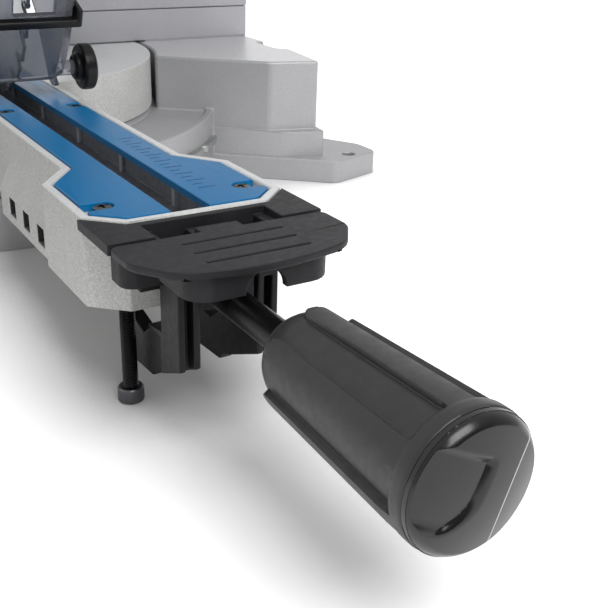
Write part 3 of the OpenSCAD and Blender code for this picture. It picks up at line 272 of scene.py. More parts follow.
def soft_grip():
    """Housing plastic with a soft, finely ribbed hand grip moulded over its upper bar."""
    f = moulded("gripped_plastic", tone(30, 30, 32), tone(44, 44, 46), 0.48, 1500)
    soft = f.math("MULTIPLY", f.within("Z", *SOFT_BAR_Z), f.within("Y", *SOFT_BAR_Y))
    f.set("Base Color", f.blend(soft, f.now("Base Color"), tone(20, 20, 21)))
    f.set("Roughness", f.remap(soft, 0.0, 1.0, 0.48, 0.66))
    ribs = f.add("ShaderNodeTexWave", {"Vector": f.place, "Scale": 130.0}, bands_direction="Y")
    f.bump(f.math("MULTIPLY", ribs.outputs["Fac"], soft), 0.8, 0.35)
    return f


def lacquer():
    """Polished black plastic with hairline scratches, and a pale line painted along the end cap's crease as
    a painted highlight.
    """
    f = Finish("polished_black", tone(14, 14, 15), 0.12, Specular_IOR_Level=0.45)
    scratch = f.noise(900, 4.0, 0.7, stretch=(1.0, 1.0, 0.06))
    f.set("Roughness", f.remap(scratch, 0.4, 0.8, 0.2, 0.3))
    skin = f.blend(f.remap(f.noise(200), 0.3, 0.7, 0.0, 1.0), tone(12, 12, 13), tone(20, 20, 21))
    x = f.axis("X")
    z = f.math("SUBTRACT", f.axis("Z"), ROD_Z * MM)
    cosine, sine = math.cos(CAP_TURN), math.sin(CAP_TURN)
    across = f.math("SUBTRACT", f.math("MULTIPLY", x, cosine), f.math("MULTIPLY", z, sine))
    up = f.math("ADD", f.math("MULTIPLY", x, sine), f.math("MULTIPLY", z, cosine))
    bow = f.math("POWER", f.math("SUBTRACT", up, CREASE_MID * MM), 2.0)
    crease = f.math("ADD", f.math("MULTIPLY", bow, CREASE_BOW / MM), CREASE_OFF * MM)
    # Painted highlight: a pale line along the crease where it catches the light
    off = f.math("ABSOLUTE", f.math("SUBTRACT", across, crease))
    front = f.math("LESS_THAN", f.axis("Y"), CAP_FACE_Y * MM)
    crease_glint = f.math("MULTIPLY", f.remap(off, *CREASE_GLINT, 1.0, 0.0), front)
    f.set("Base Color", f.blend(crease_glint, skin, tone(190, 190, 188)))
    return f


def bar_steel(name, light, dark, roughness, stretch=(1.0, 1.0, 1.0)):
    """Turned or drawn steel: tool lines, slight stains and uneven shine."""
    f = Finish(name, light, roughness, 1.0)
    lines = f.noise(900, 3.0, 0.6, stretch=stretch)
    stain = f.remap(f.noise(120, 4.0), 0.4, 0.75, 0.0, 0.5)
    f.set("Base Color", f.blend(stain, light, dark))
    f.set("Roughness", f.remap(lines, 0.3, 0.7, roughness - 0.05, roughness + 0.1))
    f.bump(lines, 0.06, 0.1)
    return f


def blade_disc():
    """Ground blade steel with grinding rings round the arbor."""
    f = Finish("ground_blade", tone(186, 188, 190), 0.24, 1.0)
    centre = mm(0, -ARBOR_Y, -ARBOR_Z)
    centred = f.add("ShaderNodeMapping", {"Vector": f.place, "Location": centre}).outputs[0]
    rings = f.add("ShaderNodeTexWave", {
        "Vector": centred, "Scale": 420.0, "Distortion": 2.0, "Detail": 3.0},
        wave_type="RINGS", rings_direction="X").outputs["Fac"]
    f.set("Base Color", f.blend(f.remap(rings, 0.0, 1.0, 0.0, 0.35), tone(190, 192, 195),
                                tone(140, 142, 146)))
    f.set("Roughness", f.remap(rings, 0.0, 1.0, 0.2, 0.36))
    f.bump(rings, 0.05, 0.05)
    return f


def smoked():
    """Smoky clear plastic of the blade guard."""
    f = Finish("smoked_clear", tone(124, 126, 134), 0.06, IOR=1.3, Transmission_Weight=0.8)
    haze = f.remap(f.noise(140, 4.0), 0.4, 0.8, 0.0, 1.0)
    f.set("Base Color", f.blend(f.math("MULTIPLY", haze, 0.5), tone(160, 162, 170), tone(184, 186, 192)))
    f.set("Roughness", f.remap(haze, 0.0, 1.0, 0.05, 0.14))
    f.bump(f.noise(50, 1.0), 0.03, 0.5)
    return f


ARM_METAL = arm_metal().mat
BASE_METAL = milled(
    cast_metal("base_casting_skin", tone(188, 188, 190), tone(160, 160, 163), 0.55, 0.6, 0.25),
    tone(228, 228, 230)).mat
FENCE_METAL = cast_metal("fence_casting_skin", tone(190, 190, 194), tone(164, 164, 168), 0.55, 0.6, 0.25).mat
HEAD_METAL = cast_metal("head_casting_skin", tone(206, 207, 208), tone(176, 177, 179), 0.2, 0.8, 0.35).mat
BLUE = painted_plate().mat
DEEP_BLUE = moulded("scale_mark", tone(0, 52, 104), tone(2, 60, 112), 0.5, 1500, 0.1).mat
LEVER_PLASTIC = moulded("lever_plastic", tone(35, 35, 38), tone(46, 46, 49), 0.52, 1100).mat
CAP_PLASTIC = moulded("cap_plastic", tone(33, 33, 36), tone(44, 44, 47), 0.52, 1100).mat
BLACK_PLASTIC = moulded("black_plastic", tone(25, 25, 27), tone(38, 38, 40), 0.5, 2100).mat
DARK_PLASTIC = moulded("housing_plastic", tone(30, 30, 32), tone(44, 44, 46), 0.48, 1500).mat
RUBBER = rubber().mat
GRIPPED = soft_grip().mat
LACQUER = lacquer().mat
STEEL = bar_steel("turned_steel", tone(178, 180, 183), tone(120, 122, 126), 0.32).mat
ZINC = bar_steel("zinc_plate", tone(190, 191, 190), tone(140, 141, 140), 0.38).mat
ROD_BLACK = moulded("rod_black", tone(15, 15, 16), tone(26, 26, 28), 0.34, 1500, 0.12).mat
SCREW_STEEL = bar_steel("screw_steel", tone(104, 101, 98), tone(62, 60, 58), 0.36).mat
BLACK_OXIDE = bar_steel("black_oxide", tone(98, 98, 102), tone(68, 68, 71), 0.38).mat
CHROME = bar_steel("rail_chrome", tone(212, 214, 217), tone(180, 182, 186), 0.12, (1.0, 0.1, 1.0)).mat
BLADE = blade_disc().mat
CARBIDE = bar_steel("carbide", tone(120, 121, 124), tone(90, 91, 94), 0.3).mat
COPPER = bar_steel("copper_winding", tone(184, 110, 66), tone(120, 66, 38), 0.35).mat
BUSH = moulded("bush_plastic", tone(214, 208, 186), tone(226, 222, 204), 0.45, 1500, 0.1).mat
SMOKED = smoked().mat


# Shapes

# Vertices closer than the weld distance, in metres, are merged, with a finer one for thin marks. Faces
# that differ by less than the flat angle, in degrees, are joined. An edge may be rounded above the
# least angle, and is shaded sharp above the sharp angle
WELD = 2e-6
FINE_WELD = 1e-7
FLAT_ANGLE, LEAST_ANGLE, SHARP_ANGLE = 0.6, 28, 50


def add_object(name, mesh, body, material=None):
    """Puts a finished mesh in the scene as a piece that rides on a body."""
    piece = bpy.data.objects.new(name, mesh)
    bpy.context.scene.collection.objects.link(piece)
    if material:
        mesh.materials.clear()
        mesh.materials.append(material)
    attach(piece, body)
    return piece


def settle(piece_mesh, name):
    """The mesh with shading that keeps flat faces flat and bends only over the rounded edges."""
    helper = bpy.data.objects.new(name + "_helper", piece_mesh)
    bpy.context.scene.collection.objects.link(helper)
    for face in piece_mesh.polygons:
        face.use_smooth = True
    weigh = helper.modifiers.new("weigh", "WEIGHTED_NORMAL")
    weigh.mode = "FACE_AREA"
    weigh.weight = 60
    weigh.keep_sharp = True
    bpy.context.view_layer.update()
    graph = bpy.context.evaluated_depsgraph_get()
    result = bpy.data.meshes.new_from_object(helper.evaluated_get(graph))
    result.name = name
    bpy.data.objects.remove(helper)
    return result


def box_of(obj):
    """The corners of the box round an object's mesh."""
    spots = [v.co for v in obj.data.vertices]
    return [tuple(pick(v[i] for v in spots) for i in range(3)) for pick in (min, max)]


def rounded_copy(node, passes):
    """A welded copy of a CAD node's mesh with rounded edges, inside the node's own box. Each pass gives
    a radius in millimetres, the steps over the round, a test that picks an edge by its middle and the
    direction in which it faces, and the least angle at the edge if that isn't the usual one."""
    shape = bmesh.new()
    shape.from_mesh(CAD_NODES[node].data)
    bmesh.ops.remove_doubles(shape, verts=shape.verts, dist=WELD)
    bmesh.ops.dissolve_limit(shape, angle_limit=math.radians(FLAT_ANGLE), verts=shape.verts,
                             edges=shape.edges)
    for radius, steps, picks, *angle in passes:
        least = math.radians(angle[0] if angle else LEAST_ANGLE)
        edges = [e for e in shape.edges if len(e.link_faces) == 2 and e.calc_face_angle(0.0) > least
                 and picks((e.verts[0].co + e.verts[1].co) / (2 * MM),
                           (e.link_faces[0].normal + e.link_faces[1].normal).normalized())]
        bmesh.ops.bevel(shape, geom=edges, offset=radius * MM, offset_type="OFFSET", segments=steps,
                        profile=0.5, affect="EDGES", clamp_overlap=False, loop_slide=True)
    low, high = box_of(CAD_NODES[node])
    for vert in shape.verts:
        vert.co = Vector(min(max(c, a), b) for c, a, b in zip(vert.co, low, high))
    for edge in shape.edges:
        if len(edge.link_faces) == 2:
            edge.smooth = edge.calc_face_angle(0.0) < math.radians(SHARP_ANGLE)
    mesh = bpy.data.meshes.new(node)
    shape.to_mesh(mesh)
    shape.free()
    return settle(mesh, node)


def everywhere(middle, facing):
    """Picks every edge."""
    return True


def dress(node, material, slot, *passes):
    """Replaces a CAD node by its copy with rounded edges, in its own finish."""
    mesh = rounded_copy(node, passes)
    piece = add_object(node + "_skin", mesh, BODY_OF[node], material)
    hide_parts(node)
    return piece


def paint(node, material):
    """Gives a CAD node that is hidden, or right as it is, its finish."""
    mesh = CAD_NODES[node].data
    mesh.materials.clear()
    mesh.materials.append(material)


class Recipe(Nodes):
    """A Geometry Nodes tree with named inputs for its sizes."""

    def __init__(self, name, **sizes):
        self.tree = bpy.data.node_groups.new(name, "GeometryNodeTree")
        super().__init__(self.tree)
        face = self.tree.interface
        face.new_socket("Geometry", in_out="INPUT", socket_type="NodeSocketGeometry")
        face.new_socket("Geometry", in_out="OUTPUT", socket_type="NodeSocketGeometry")
        self.ids = {}
        for key, value in sizes.items():
            kind = "NodeSocketInt" if isinstance(value, int) else "NodeSocketFloat"
            socket = face.new_socket(key, in_out="INPUT", socket_type=kind)
            socket.default_value = value
            self.ids[key] = socket.identifier
        self.start = self.nodes.new("NodeGroupInput")
        self.end = self.nodes.new("NodeGroupOutput")

    def __getitem__(self, key):
        return self.start.outputs[key]

    def vector(self, x=0.0, y=0.0, z=0.0):
        return self.add("ShaderNodeCombineXYZ", {0: x, 1: y, 2: z}).outputs[0]

    def moved(self, geometry, **places):
        inputs = {"Geometry": geometry}
        inputs.update({key.capitalize(): value for key, value in places.items()})
        return self.add("GeometryNodeTransform", inputs).outputs["Geometry"]

    def join(self, *parts):
        node = self.add("GeometryNodeJoinGeometry")
        for part in parts:
            self.links.new(part, node.inputs["Geometry"])
        return node.outputs["Geometry"]

    def close(self, geometry, material):
        """Ends the tree with real geometry in one material."""
        whole = self.add("GeometryNodeRealizeInstances", {"Geometry": geometry}).outputs["Geometry"]
        done = self.add("GeometryNodeSetMaterial", {"Geometry": whole, "Material": material})
        self.links.new(done.outputs["Geometry"], self.end.inputs["Geometry"])


def grow(name, recipe, places=((0, 0, 0),), axes=None, **sizes):
    """Runs a recipe on points in millimetres and returns the result as a plain mesh."""
    points = bpy.data.meshes.new(name + "_places")
    points.from_pydata([mm(*p) for p in places], [], [])
    if axes:
        store = points.attributes.new("axis", "FLOAT_VECTOR", "POINT")
        store.data.foreach_set("vector", [c for a in axes for c in a])
    helper = bpy.data.objects.new(name, points)
    bpy.context.scene.collection.objects.link(helper)
    step = helper.modifiers.new("recipe", "NODES")
    step.node_group = recipe.tree
    for key, value in sizes.items():
        step[recipe.ids[key]] = value
    bpy.context.view_layer.update()
    graph = bpy.context.evaluated_depsgraph_get()
    mesh = bpy.data.meshes.new_from_object(helper.evaluated_get(graph))
    mesh.name = name
    helper.modifiers.remove(step)
    bpy.data.objects.remove(helper)
    return mesh


def outward(mesh, weld=WELD, crisp=40):
    """Merges doubles, turns all faces outwards and shades the mesh smooth up to edges that are
    sharper than an angle in degrees."""
    shape = bmesh.new()
    shape.from_mesh(mesh)
    bmesh.ops.remove_doubles(shape, verts=shape.verts, dist=weld)
    bmesh.ops.recalc_face_normals(shape, faces=shape.faces)
    for face in shape.faces:
        face.smooth = True
    for edge in shape.edges:
        if len(edge.link_faces) == 2:
            edge.smooth = edge.calc_face_angle(0.0) < math.radians(crisp)
    shape.to_mesh(mesh)
    shape.free()
    return mesh


# Screw heads, as shares of their own sizes: top and height of the chamfer, arms of a cross, place of
# the socket's tool
CHAMFER_IN, CHAMFER_UP, CROSS_ARM, TOOL_UP = 0.84, 0.2, 0.55, 1.1
SCREW_SIDES = 32


def screw_recipe(name, material, cross):
    """A screw head with a chamfered edge and a socket, on each point, turned to the point's axis."""
    r = Recipe(name, Radius=0.0034, Height=0.002, Socket=0.0016, Depth=0.0012)
    head = r.add("GeometryNodeMeshCylinder", {
        "Vertices": SCREW_SIDES, "Radius": r["Radius"], "Depth": r["Height"]}).outputs["Mesh"]
    head = r.moved(head, translation=r.vector(z=r.math("MULTIPLY", r["Height"], 0.5)))
    rim = r.add("GeometryNodeMeshCone", {
        "Vertices": SCREW_SIDES, "Radius Top": r.math("MULTIPLY", r["Radius"], CHAMFER_IN),
        "Radius Bottom": r["Radius"],
        "Depth": r.math("MULTIPLY", r["Height"], CHAMFER_UP)}).outputs["Mesh"]
    rim = r.moved(rim, translation=r.vector(z=r["Height"]))
    head = r.join(head, rim)
    deep = r.math("MULTIPLY", r["Depth"], 2.0)
    if cross:
        wide = r.math("MULTIPLY", r["Socket"], 2.0)
        slim = r.math("MULTIPLY", r["Socket"], CROSS_ARM)
        tool = r.join(
            r.add("GeometryNodeMeshCube", {"Size": r.vector(wide, slim, deep)}).outputs["Mesh"],
            r.add("GeometryNodeMeshCube", {"Size": r.vector(slim, wide, deep)}).outputs["Mesh"])
    else:
        tool = r.add("GeometryNodeMeshCylinder", {
            "Vertices": 6, "Radius": r["Socket"], "Depth": deep}).outputs["Mesh"]
    tool = r.moved(tool, translation=r.vector(z=r.math("MULTIPLY", r["Height"], TOOL_UP)))
    cut = r.add("GeometryNodeMeshBoolean", {"Mesh 1": head, "Mesh 2": tool},
                operation="DIFFERENCE").outputs["Mesh"]
    axis = r.add("GeometryNodeInputNamedAttribute", {"Name": "axis"}, data_type="FLOAT_VECTOR")
    turn = r.add("FunctionNodeAlignRotationToVector", {"Vector": axis.outputs["Attribute"]}, axis="Z")
    heads = r.add("GeometryNodeInstanceOnPoints", {
        "Points": r["Geometry"], "Instance": cut, "Rotation": turn.outputs["Rotation"]})
    r.close(heads.outputs["Instances"], material)
    return r


HEX_BLACK = screw_recipe("hex_screws", BLACK_OXIDE, False)
HEX_ZINC = screw_recipe("zinc_screws", ZINC, False)
CROSS_BLACK = screw_recipe("cross_screws", BLACK_OXIDE, True)
CROSS_GREY = screw_recipe("plate_screws", SCREW_STEEL, True)


def screws(name, recipe, body, places, axis, radius, height, socket, depth):
    """Screw heads of one size on a body, as one piece. Places and sizes are in millimetres."""
    mesh = grow(name, recipe, places, [axis] * len(places), Radius=radius * MM, Height=height * MM,
                Socket=socket * MM, Depth=depth * MM)
    return add_object(name, outward(mesh), body)


def swept_recipe(name, material, rings, around, rule):
    """A closed form that follows a rule: a grid is wrapped round Y, and the rule gives radius and place
    along the axis from the turn and the step."""
    r = Recipe(name, Rings=rings, Around=around)
    grid = r.add("GeometryNodeMeshGrid", {
        "Size X": 1.0, "Size Y": 1.0, "Vertices X": r["Rings"], "Vertices Y": r["Around"]})
    spot = r.add("GeometryNodeInputPosition").outputs[0]
    split = r.add("ShaderNodeSeparateXYZ", {0: spot})
    step = r.math("ADD", split.outputs["X"], 0.5)
    turn = r.math("MULTIPLY", r.math("ADD", split.outputs["Y"], 0.5), 2 * math.pi)
    radius, along = rule(r, step, turn)
    place = r.vector(r.math("MULTIPLY", radius, r.math("SINE", turn)), along,
                     r.math("MULTIPLY", radius, r.math("COSINE", turn)))
    formed = r.add("GeometryNodeSetPosition", {"Geometry": grid.outputs["Mesh"], "Position": place})
    r.close(formed.outputs["Geometry"], material)
    return r


def profile(r, step, points):
    """A value in metres that runs through points of (step, millimetres)."""
    top = max(v for _, v in points)
    node = r.add("ShaderNodeFloatCurve", {"Value": step})
    curve = node.mapping.curves[0]
    node.mapping.use_clip = False
    for i, (at, value) in enumerate(points):
        if i < 2:
            curve.points[i].location = (at, value / top)
        else:
            curve.points.new(at, value / top)
    for point in curve.points:
        point.handle_type = "VECTOR"
    node.mapping.update()
    return r.math("MULTIPLY", node.outputs["Value"], top * MM)


def outline(r, step, points):
    """Radius and place along the axis, from points of (step, millimetres along, radius)."""
    radius = profile(r, step, [(s, v) for s, _, v in points])
    along = profile(r, step, [(s, a) for s, a, _ in points])
    return radius, along


def at(mesh, x, y, z):
    """Moves a mesh by millimetres."""
    mesh.transform(Matrix.Translation(mm(x, y, z)))
    return mesh


# The lock handle: grip and end cap

# Grip in millimetres: where it starts, its length, its outline as (step, along, radius), and its ribs
# with height, half width, flank, start and the radius at which their width is measured. Ribs stand only
# where the barrel is wide enough, and no higher than the collar
GRIP_START = -418.5
GRIP_LEN = 81.0
GRIP_OUTLINE = [
    (0.0, 0.0, 5.5), (0.03, 0.0, 8.5), (0.045, 0.4, 9.2), (0.07, 3.4, 12.3), (0.09, 6.0, 13.95),
    (0.11, 9.0, 15.1), (0.14, 12.0, 15.55), (0.84, 72.5, 17.85), (0.865, 74.3, 18.1), (0.88, 75.2, 18.6),
    (0.895, 75.6, 19.5), (0.91, 76.2, 20.0), (0.925, 77.0, 20.2), (0.945, 80.2, 20.25),
    (0.955, 80.8, 20.0), (0.965, 81.0, 19.6), (0.98, 81.0, 5.5), (1.0, 0.0, 5.5)]
RIB_COUNT = 6
RIB_H, RIB_HALF, RIB_FLANK = 2.2, 3.75, 0.35
RIB_START, RIB_AT = 10.0, 16.7
COLLAR_R, BARREL_R = 20.0, 12.5
GRIP_RINGS, GRIP_AROUND = 150, 541


def grip_rule(r, step, turn):
    """Six raised bars on a tapering barrel, with round rear ends, that run into the front collar."""
    radius, along = outline(r, step, GRIP_OUTLINE)
    off = r.math("MULTIPLY", r.math("PINGPONG", turn, math.pi / RIB_COUNT), RIB_AT * MM)
    short = r.math("MAXIMUM", r.math("SUBTRACT", (RIB_START + RIB_HALF) * MM, along), 0.0)
    gap = r.math("SQRT", r.math("ADD", r.math("POWER", off, 2.0), r.math("POWER", short, 2.0)))
    edge = r.add("ShaderNodeMapRange", {
        "Value": gap, "From Min": RIB_HALF * MM, "From Max": (RIB_HALF - RIB_FLANK) * MM,
        "To Min": 0.0, "To Max": RIB_H * MM}, interpolation_type="SMOOTHSTEP").outputs["Result"]
    lifted = r.math("MINIMUM", r.math("ADD", radius, edge), r.math("MAXIMUM", radius, COLLAR_R * MM))
    outer = r.math("GREATER_THAN", radius, BARREL_R * MM)
    radius = r.math("ADD", radius, r.math("MULTIPLY", outer, r.math("SUBTRACT", lifted, radius)))
    return radius, r.math("MULTIPLY", along, -1.0)


def handle_grip():
    """The rubber grip round the lock rod."""
    recipe = swept_recipe("grip_form", RUBBER, GRIP_RINGS, GRIP_AROUND, grip_rule)
    mesh = outward(at(grow("handle_grip_form", recipe), 0, GRIP_START, ROD_Z))
    piece = add_object("handle_grip_skin", mesh, "lock_handle")
    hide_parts("handle_grip")


# End cap in millimetres: radius, length, straight band, rim and dome, the facet's slant, then the step
# with its place across, its depth, its bend at the lower end and the heights over which it fades. The
# mesh has so many lines and rows, and one more line just past the foot of the step
CAP_R, CAP_LEN, CAP_SIDE = 19.85, 6.5, 1.5
CAP_ROUND, CAP_SHOULDER = 5.0, 1.5
CAP_DOME = 0.0072
FACET_SLANT = math.radians(4)
STEP_TOP, STEP_FOOT, STEP_DROP = 0.4, -2.5, 1.5
STEP_BEND, BEND_FROM = 0.052, -1.5
FADE_TOP, FADE_TOP_LEN = 10.0, 3.0
FADE_LOW, FADE_LOW_LEN = -13.5, 4.0
CAP_LINES, CAP_ROWS, FOOT_LINE = 160, 96, 0.15


def crease_at(up):
    """Where the right facet's crease runs: a shallow bow."""
    return CREASE_OFF + CREASE_BOW * (up - CREASE_MID) ** 2


def step_at(up):
    """How far the step swings to the left near its lower end."""
    return STEP_BEND * max(BEND_FROM - up, 0.0) ** 2


def cap_front(across, up):
    """How far the end cap stands out at a place on its face: a dome, a step down to a flat land on the
    left that fades towards both its ends, and a slanting facet on the right."""
    radius = math.hypot(across, up)
    face = CAP_LEN - CAP_DOME * radius * radius
    beside = across + step_at(up)
    if beside < STEP_TOP:
        high = max((FADE_TOP - up) / FADE_TOP_LEN, 0.0)
        low = max((up - FADE_LOW) / FADE_LOW_LEN, 0.0)
        fade = min(high, low, 1.0)
        slope = min((STEP_TOP - beside) / (STEP_TOP - STEP_FOOT), 1.0)
        face -= STEP_DROP * fade * fade * (3 - 2 * fade) * slope ** 2
    past = across - crease_at(up)
    if past > 0:
        face -= math.tan(FACET_SLANT) * past
    rim = radius - (CAP_R - CAP_ROUND)
    if rim > 0:
        bow = math.sqrt(max(CAP_ROUND ** 2 - rim ** 2, 0.0))
        face = min(face, CAP_LEN - CAP_SHOULDER - CAP_ROUND + bow)
    return max(face, CAP_SIDE)


def handle_cap():
    """The cap as a mesh whose lines run along its creases: flat back, straight band and formed face."""
    lines = {round(CAP_R * math.sin(math.pi * (i / CAP_LINES - 0.5)), 4) for i in range(CAP_LINES + 1)}
    lines |= {STEP_TOP, STEP_FOOT, STEP_FOOT - FOOT_LINE}
    rows = [math.sin(math.pi * (i / CAP_ROWS - 0.5)) for i in range(CAP_ROWS + 1)]
    points, faces = [], []
    for across in sorted(lines):
        half = math.sqrt(max(CAP_R ** 2 - across ** 2, 0.0))
        for y_of in (lambda u: -cap_front(across, u), lambda u: 0.0):
            for v in rows:
                up = v * half
                points.append((across * math.cos(CAP_TURN) + up * math.sin(CAP_TURN), y_of(up),
                               up * math.cos(CAP_TURN) - across * math.sin(CAP_TURN)))
    count = len(rows)
    for i in range(len(lines) - 1):
        a, b = 2 * i * count, 2 * (i + 1) * count
        for j in range(count - 1):
            faces.append((a + j, a + j + 1, b + j + 1, b + j))
            faces.append((a + count + j, b + count + j, b + count + j + 1, a + count + j + 1))
        faces.append((a, b, b + count, a + count))
        faces.append((b + count - 1, a + count - 1, a + 2 * count - 1, b + 2 * count - 1))
    mesh = bpy.data.meshes.new("handle_cap_form")
    mesh.from_pydata([mm(*p) for p in points], [], faces)
    at(mesh, 0, GRIP_START - GRIP_LEN, ROD_Z)
    piece = add_object("handle_cap_skin", outward(mesh, crisp=20), "lock_handle", LACQUER)
    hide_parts("handle_cap")


handle_grip()
handle_cap()
dress("lock_rod", ROD_BLACK, "dark_steel", (0.6, 3, everywhere))


# The arm's nose: lever, cap, bracket, plates and screws

# Heights in millimetres: top and underside of the lever's plate, middle of the front cap's blocks. Then
# the middle of the arm, and how much its ends count when an edge is told to face it
LEVER_TOP, LEVER_LOW = 76.0, 73.2
BLOCK_MID_Z = 65.5
ARM_MID_Y, END_SHARE = -180, 0.05


def lever_corner(m, n):
    """True for the upright corners at the sides of the lever's plate."""
    return abs(m.z - (LEVER_TOP + LEVER_LOW) / 2) < 0.4 and abs(m.x) > 30


def lever_underside(m, n):
    """True for the lower edge of the lever's plate, at its front and sides."""
    return abs(m.z - LEVER_LOW) < 0.1 and (m.y < -404 or abs(m.x) > 28)


def block_corner(m, n):
    """True for the upright front corners of the front cap's blocks."""
    return abs(m.z - BLOCK_MID_Z) < 1.5 and m.y < -362 and abs(m.x) > 25


dress("detent_lever", LEVER_PLASTIC, "grey_plastic", (3.0, 4, lever_corner), (1.1, 3, lever_underside),
      (0.5, 3, lambda m, n: m.z > LEVER_TOP - 0.1), (0.3, 2, lambda m, n: m.z < LEVER_LOW - 0.2))
dress("front_cap", CAP_PLASTIC, "black_plastic", (2.0, 3, block_corner), (0.4, 3, everywhere))
dress("lock_bracket", BLACK_PLASTIC, "black_plastic", (0.7, 3, everywhere))


def on_top(m, n):
    """True at the height of the table."""
    return m.z > TABLE_Z - 0.5


def rim_inside(m, n):
    """True for the rim's inner edge, which faces the middle of the arm."""
    inwards = n.x * m.x + n.y * (m.y - ARM_MID_Y) * END_SHARE < 0
    return on_top(m, n) and n.z > 0.3 and inwards


def rim_outside(m, n):
    """True for the other edges at the top, away from the blade's slot."""
    return on_top(m, n) and not rim_inside(m, n) and abs(m.x) > 22


dress("turntable_casting", ARM_METAL, "casting", (1.5, 2, rim_inside), (0.7, 3, rim_outside),
      (0.6, 2, lambda m, n: m.z <= TABLE_Z - 2))
for side in ("left", "right"):
    dress("kerf_plate_" + side, BLUE, "blue_plate", (0.35, 2, everywhere))

SCREW_SPOTS = ((27.6, -335.6), (17.3, -178.0), (17.3, -20.0))
SCREW_PLACES = [(side * x, y, 74.4) for x, y in SCREW_SPOTS for side in (-1, 1)]
plate_screws = screws("kerf_screw_heads", CROSS_GREY, "turntable", SCREW_PLACES, (0, 0, 1),
                      radius=3.4, height=1.8, socket=1.9, depth=1.3)
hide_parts("kerf_screws")

# Rule marks: place of the first one in millimetres, and their thickness in metres
RULE_PLACE = (11.0, -332.0, TABLE_Z)
MARK_THICK = 0.00006


def scale_ticks():
    """Plain rule marks along the right plate, every other one longer."""
    r = Recipe("rule_marks", Count=17, Pitch=0.005, Short=0.0042, Long=0.0072, Width=0.0006)
    line = r.add("GeometryNodeMeshLine", {"Count": r["Count"], "Offset": r.vector(y=r["Pitch"])})
    index = r.add("GeometryNodeInputIndex").outputs[0]
    every = r.math("LESS_THAN", r.math("MODULO", index, 2.0), 0.5)
    extra = r.math("SUBTRACT", r["Long"], r["Short"])
    size = r.math("ADD", r["Short"], r.math("MULTIPLY", every, extra))
    cube = r.add("GeometryNodeMeshCube", {"Size": (1.0, 1.0, 1.0)}).outputs["Mesh"]
    cube = r.moved(cube, translation=(0.5, 0.0, 0.0))
    marks = r.add("GeometryNodeInstanceOnPoints", {
        "Points": line.outputs["Mesh"], "Instance": cube,
        "Scale": r.vector(size, r["Width"], MARK_THICK)})
    r.close(marks.outputs["Instances"], DEEP_BLUE)
    mesh = at(grow("rule_marks", r), *RULE_PLACE)
    add_object("rule_marks", outward(mesh, FINE_WELD), "turntable")


scale_ticks()


# Levelling screw in millimetres: its place, and the thread with its length, pitch, core and slope
LEVEL_X, LEVEL_Y = -22.4, -340.0
THREAD_LEN, THREAD_PITCH, THREAD_CORE, THREAD_SLOPE = 43.0, 1.0, 2.45, 1.1


def thread_rule(r, step, turn):
    """A bar whose radius follows a thread's slope, along and round."""
    along = r.math("MULTIPLY", step, THREAD_LEN * MM)
    phase = r.math("ADD", r.math("DIVIDE", along, THREAD_PITCH * MM),
                   r.math("DIVIDE", turn, 2 * math.pi))
    ridge = r.math("PINGPONG", phase, 0.5)
    return r.math("ADD", r.math("MULTIPLY", ridge, THREAD_SLOPE * MM), THREAD_CORE * MM), along


# Head of the levelling screw: its outline as (step, along, radius), and the knurl round its side
SCREW_HEAD = [(0.0, 0.0, 2.6), (0.1, 0.0, 4.3), (0.2, 0.5, 4.9), (0.75, 5.3, 4.9), (0.85, 6.0, 4.4),
              (1.0, 6.0, 2.4)]
KNURLS, KNURL_SLOPE, KNURL_R = 36, 1.1, 4.8


def knurl_rule(r, step, turn):
    """A socket head with a fine knurl round its side."""
    radius, along = outline(r, step, SCREW_HEAD)
    ridge = r.math("MULTIPLY", r.math("PINGPONG", turn, math.pi / KNURLS), KNURL_SLOPE * MM)
    side = r.math("GREATER_THAN", radius, KNURL_R * MM)
    return r.math("ADD", radius, r.math("MULTIPLY", side, ridge)), along


def level_screw():
    """The levelling screw: a thread above a knurled socket head that stands on the bench."""
    for name, material, rule, rings, around, low in (
            ("level_thread", ROD_BLACK, thread_rule, 345, 25, 6.0),
            ("level_head", BLACK_OXIDE, knurl_rule, 40, 145, 0.0)):
        mesh = grow(name, swept_recipe(name + "_form", material, rings, around, rule))
        mesh.transform(Matrix.Rotation(math.radians(90), 4, "X"))
        piece = add_object(name, outward(at(mesh, LEVEL_X, LEVEL_Y, low)), "level_screw")
    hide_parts("level_screw")


level_screw()


# Base, fences and their fasteners

# Height of the plinth's top, and how far from it an edge may lie to belong to it, in millimetres
PLINTH_Z, PLINTH_BAND = 32, 1.5


def wing_corner(m, n):
    """True for the upright corners of the wings."""
    return 50 < m.z < 60 and m.y < -10 and abs(m.x) > 70


def foot_corner(m, n):
    """True for the upright corners of the feet."""
    return m.z < 10 and abs(n.z) < 0.1 and abs(m.x) > 150


def plinth_edge(m, n):
    """True for edges at the height of the plinth's top."""
    return abs(m.z - PLINTH_Z) < PLINTH_BAND


def plinth_foot(m):
    """True for the inner corner between the plinth and the feet, which stays crisp."""
    return m.z < 16 and abs(m.x) < 216 and (m.y > -105 or abs(m.x) > 180)


def side_edge(m, n):
    """True for the other edges below the middle of the wings, apart from that corner."""
    return 10 < m.z < 50 and abs(m.z - PLINTH_Z) > PLINTH_BAND and not plinth_foot(m)


dress("base_casting", BASE_METAL, "casting", (2.6, 3, wing_corner, 20), (4.0, 4, foot_corner),
      (2.0, 4, on_top), (0.7, 2, plinth_edge), (1.3, 3, side_edge))
for side in ("left", "right"):
    dress("fence_" + side, FENCE_METAL, "casting", (1.0, 3, everywhere))
    dress("sub_fence_" + side, FENCE_METAL, "casting", (1.0, 3, everywhere))
    dress("fence_knob_" + side, BLACK_PLASTIC, "black_plastic", (1.2, 3, everywhere))
dress("fence_bolts", BLACK_OXIDE, "dark_steel", (0.4, 2, everywhere))
dress("detent_plate", ZINC, "steel", (0.3, 2, everywhere))
paint("pivot_bolt", ZINC)


# Tilting arm, slide and head


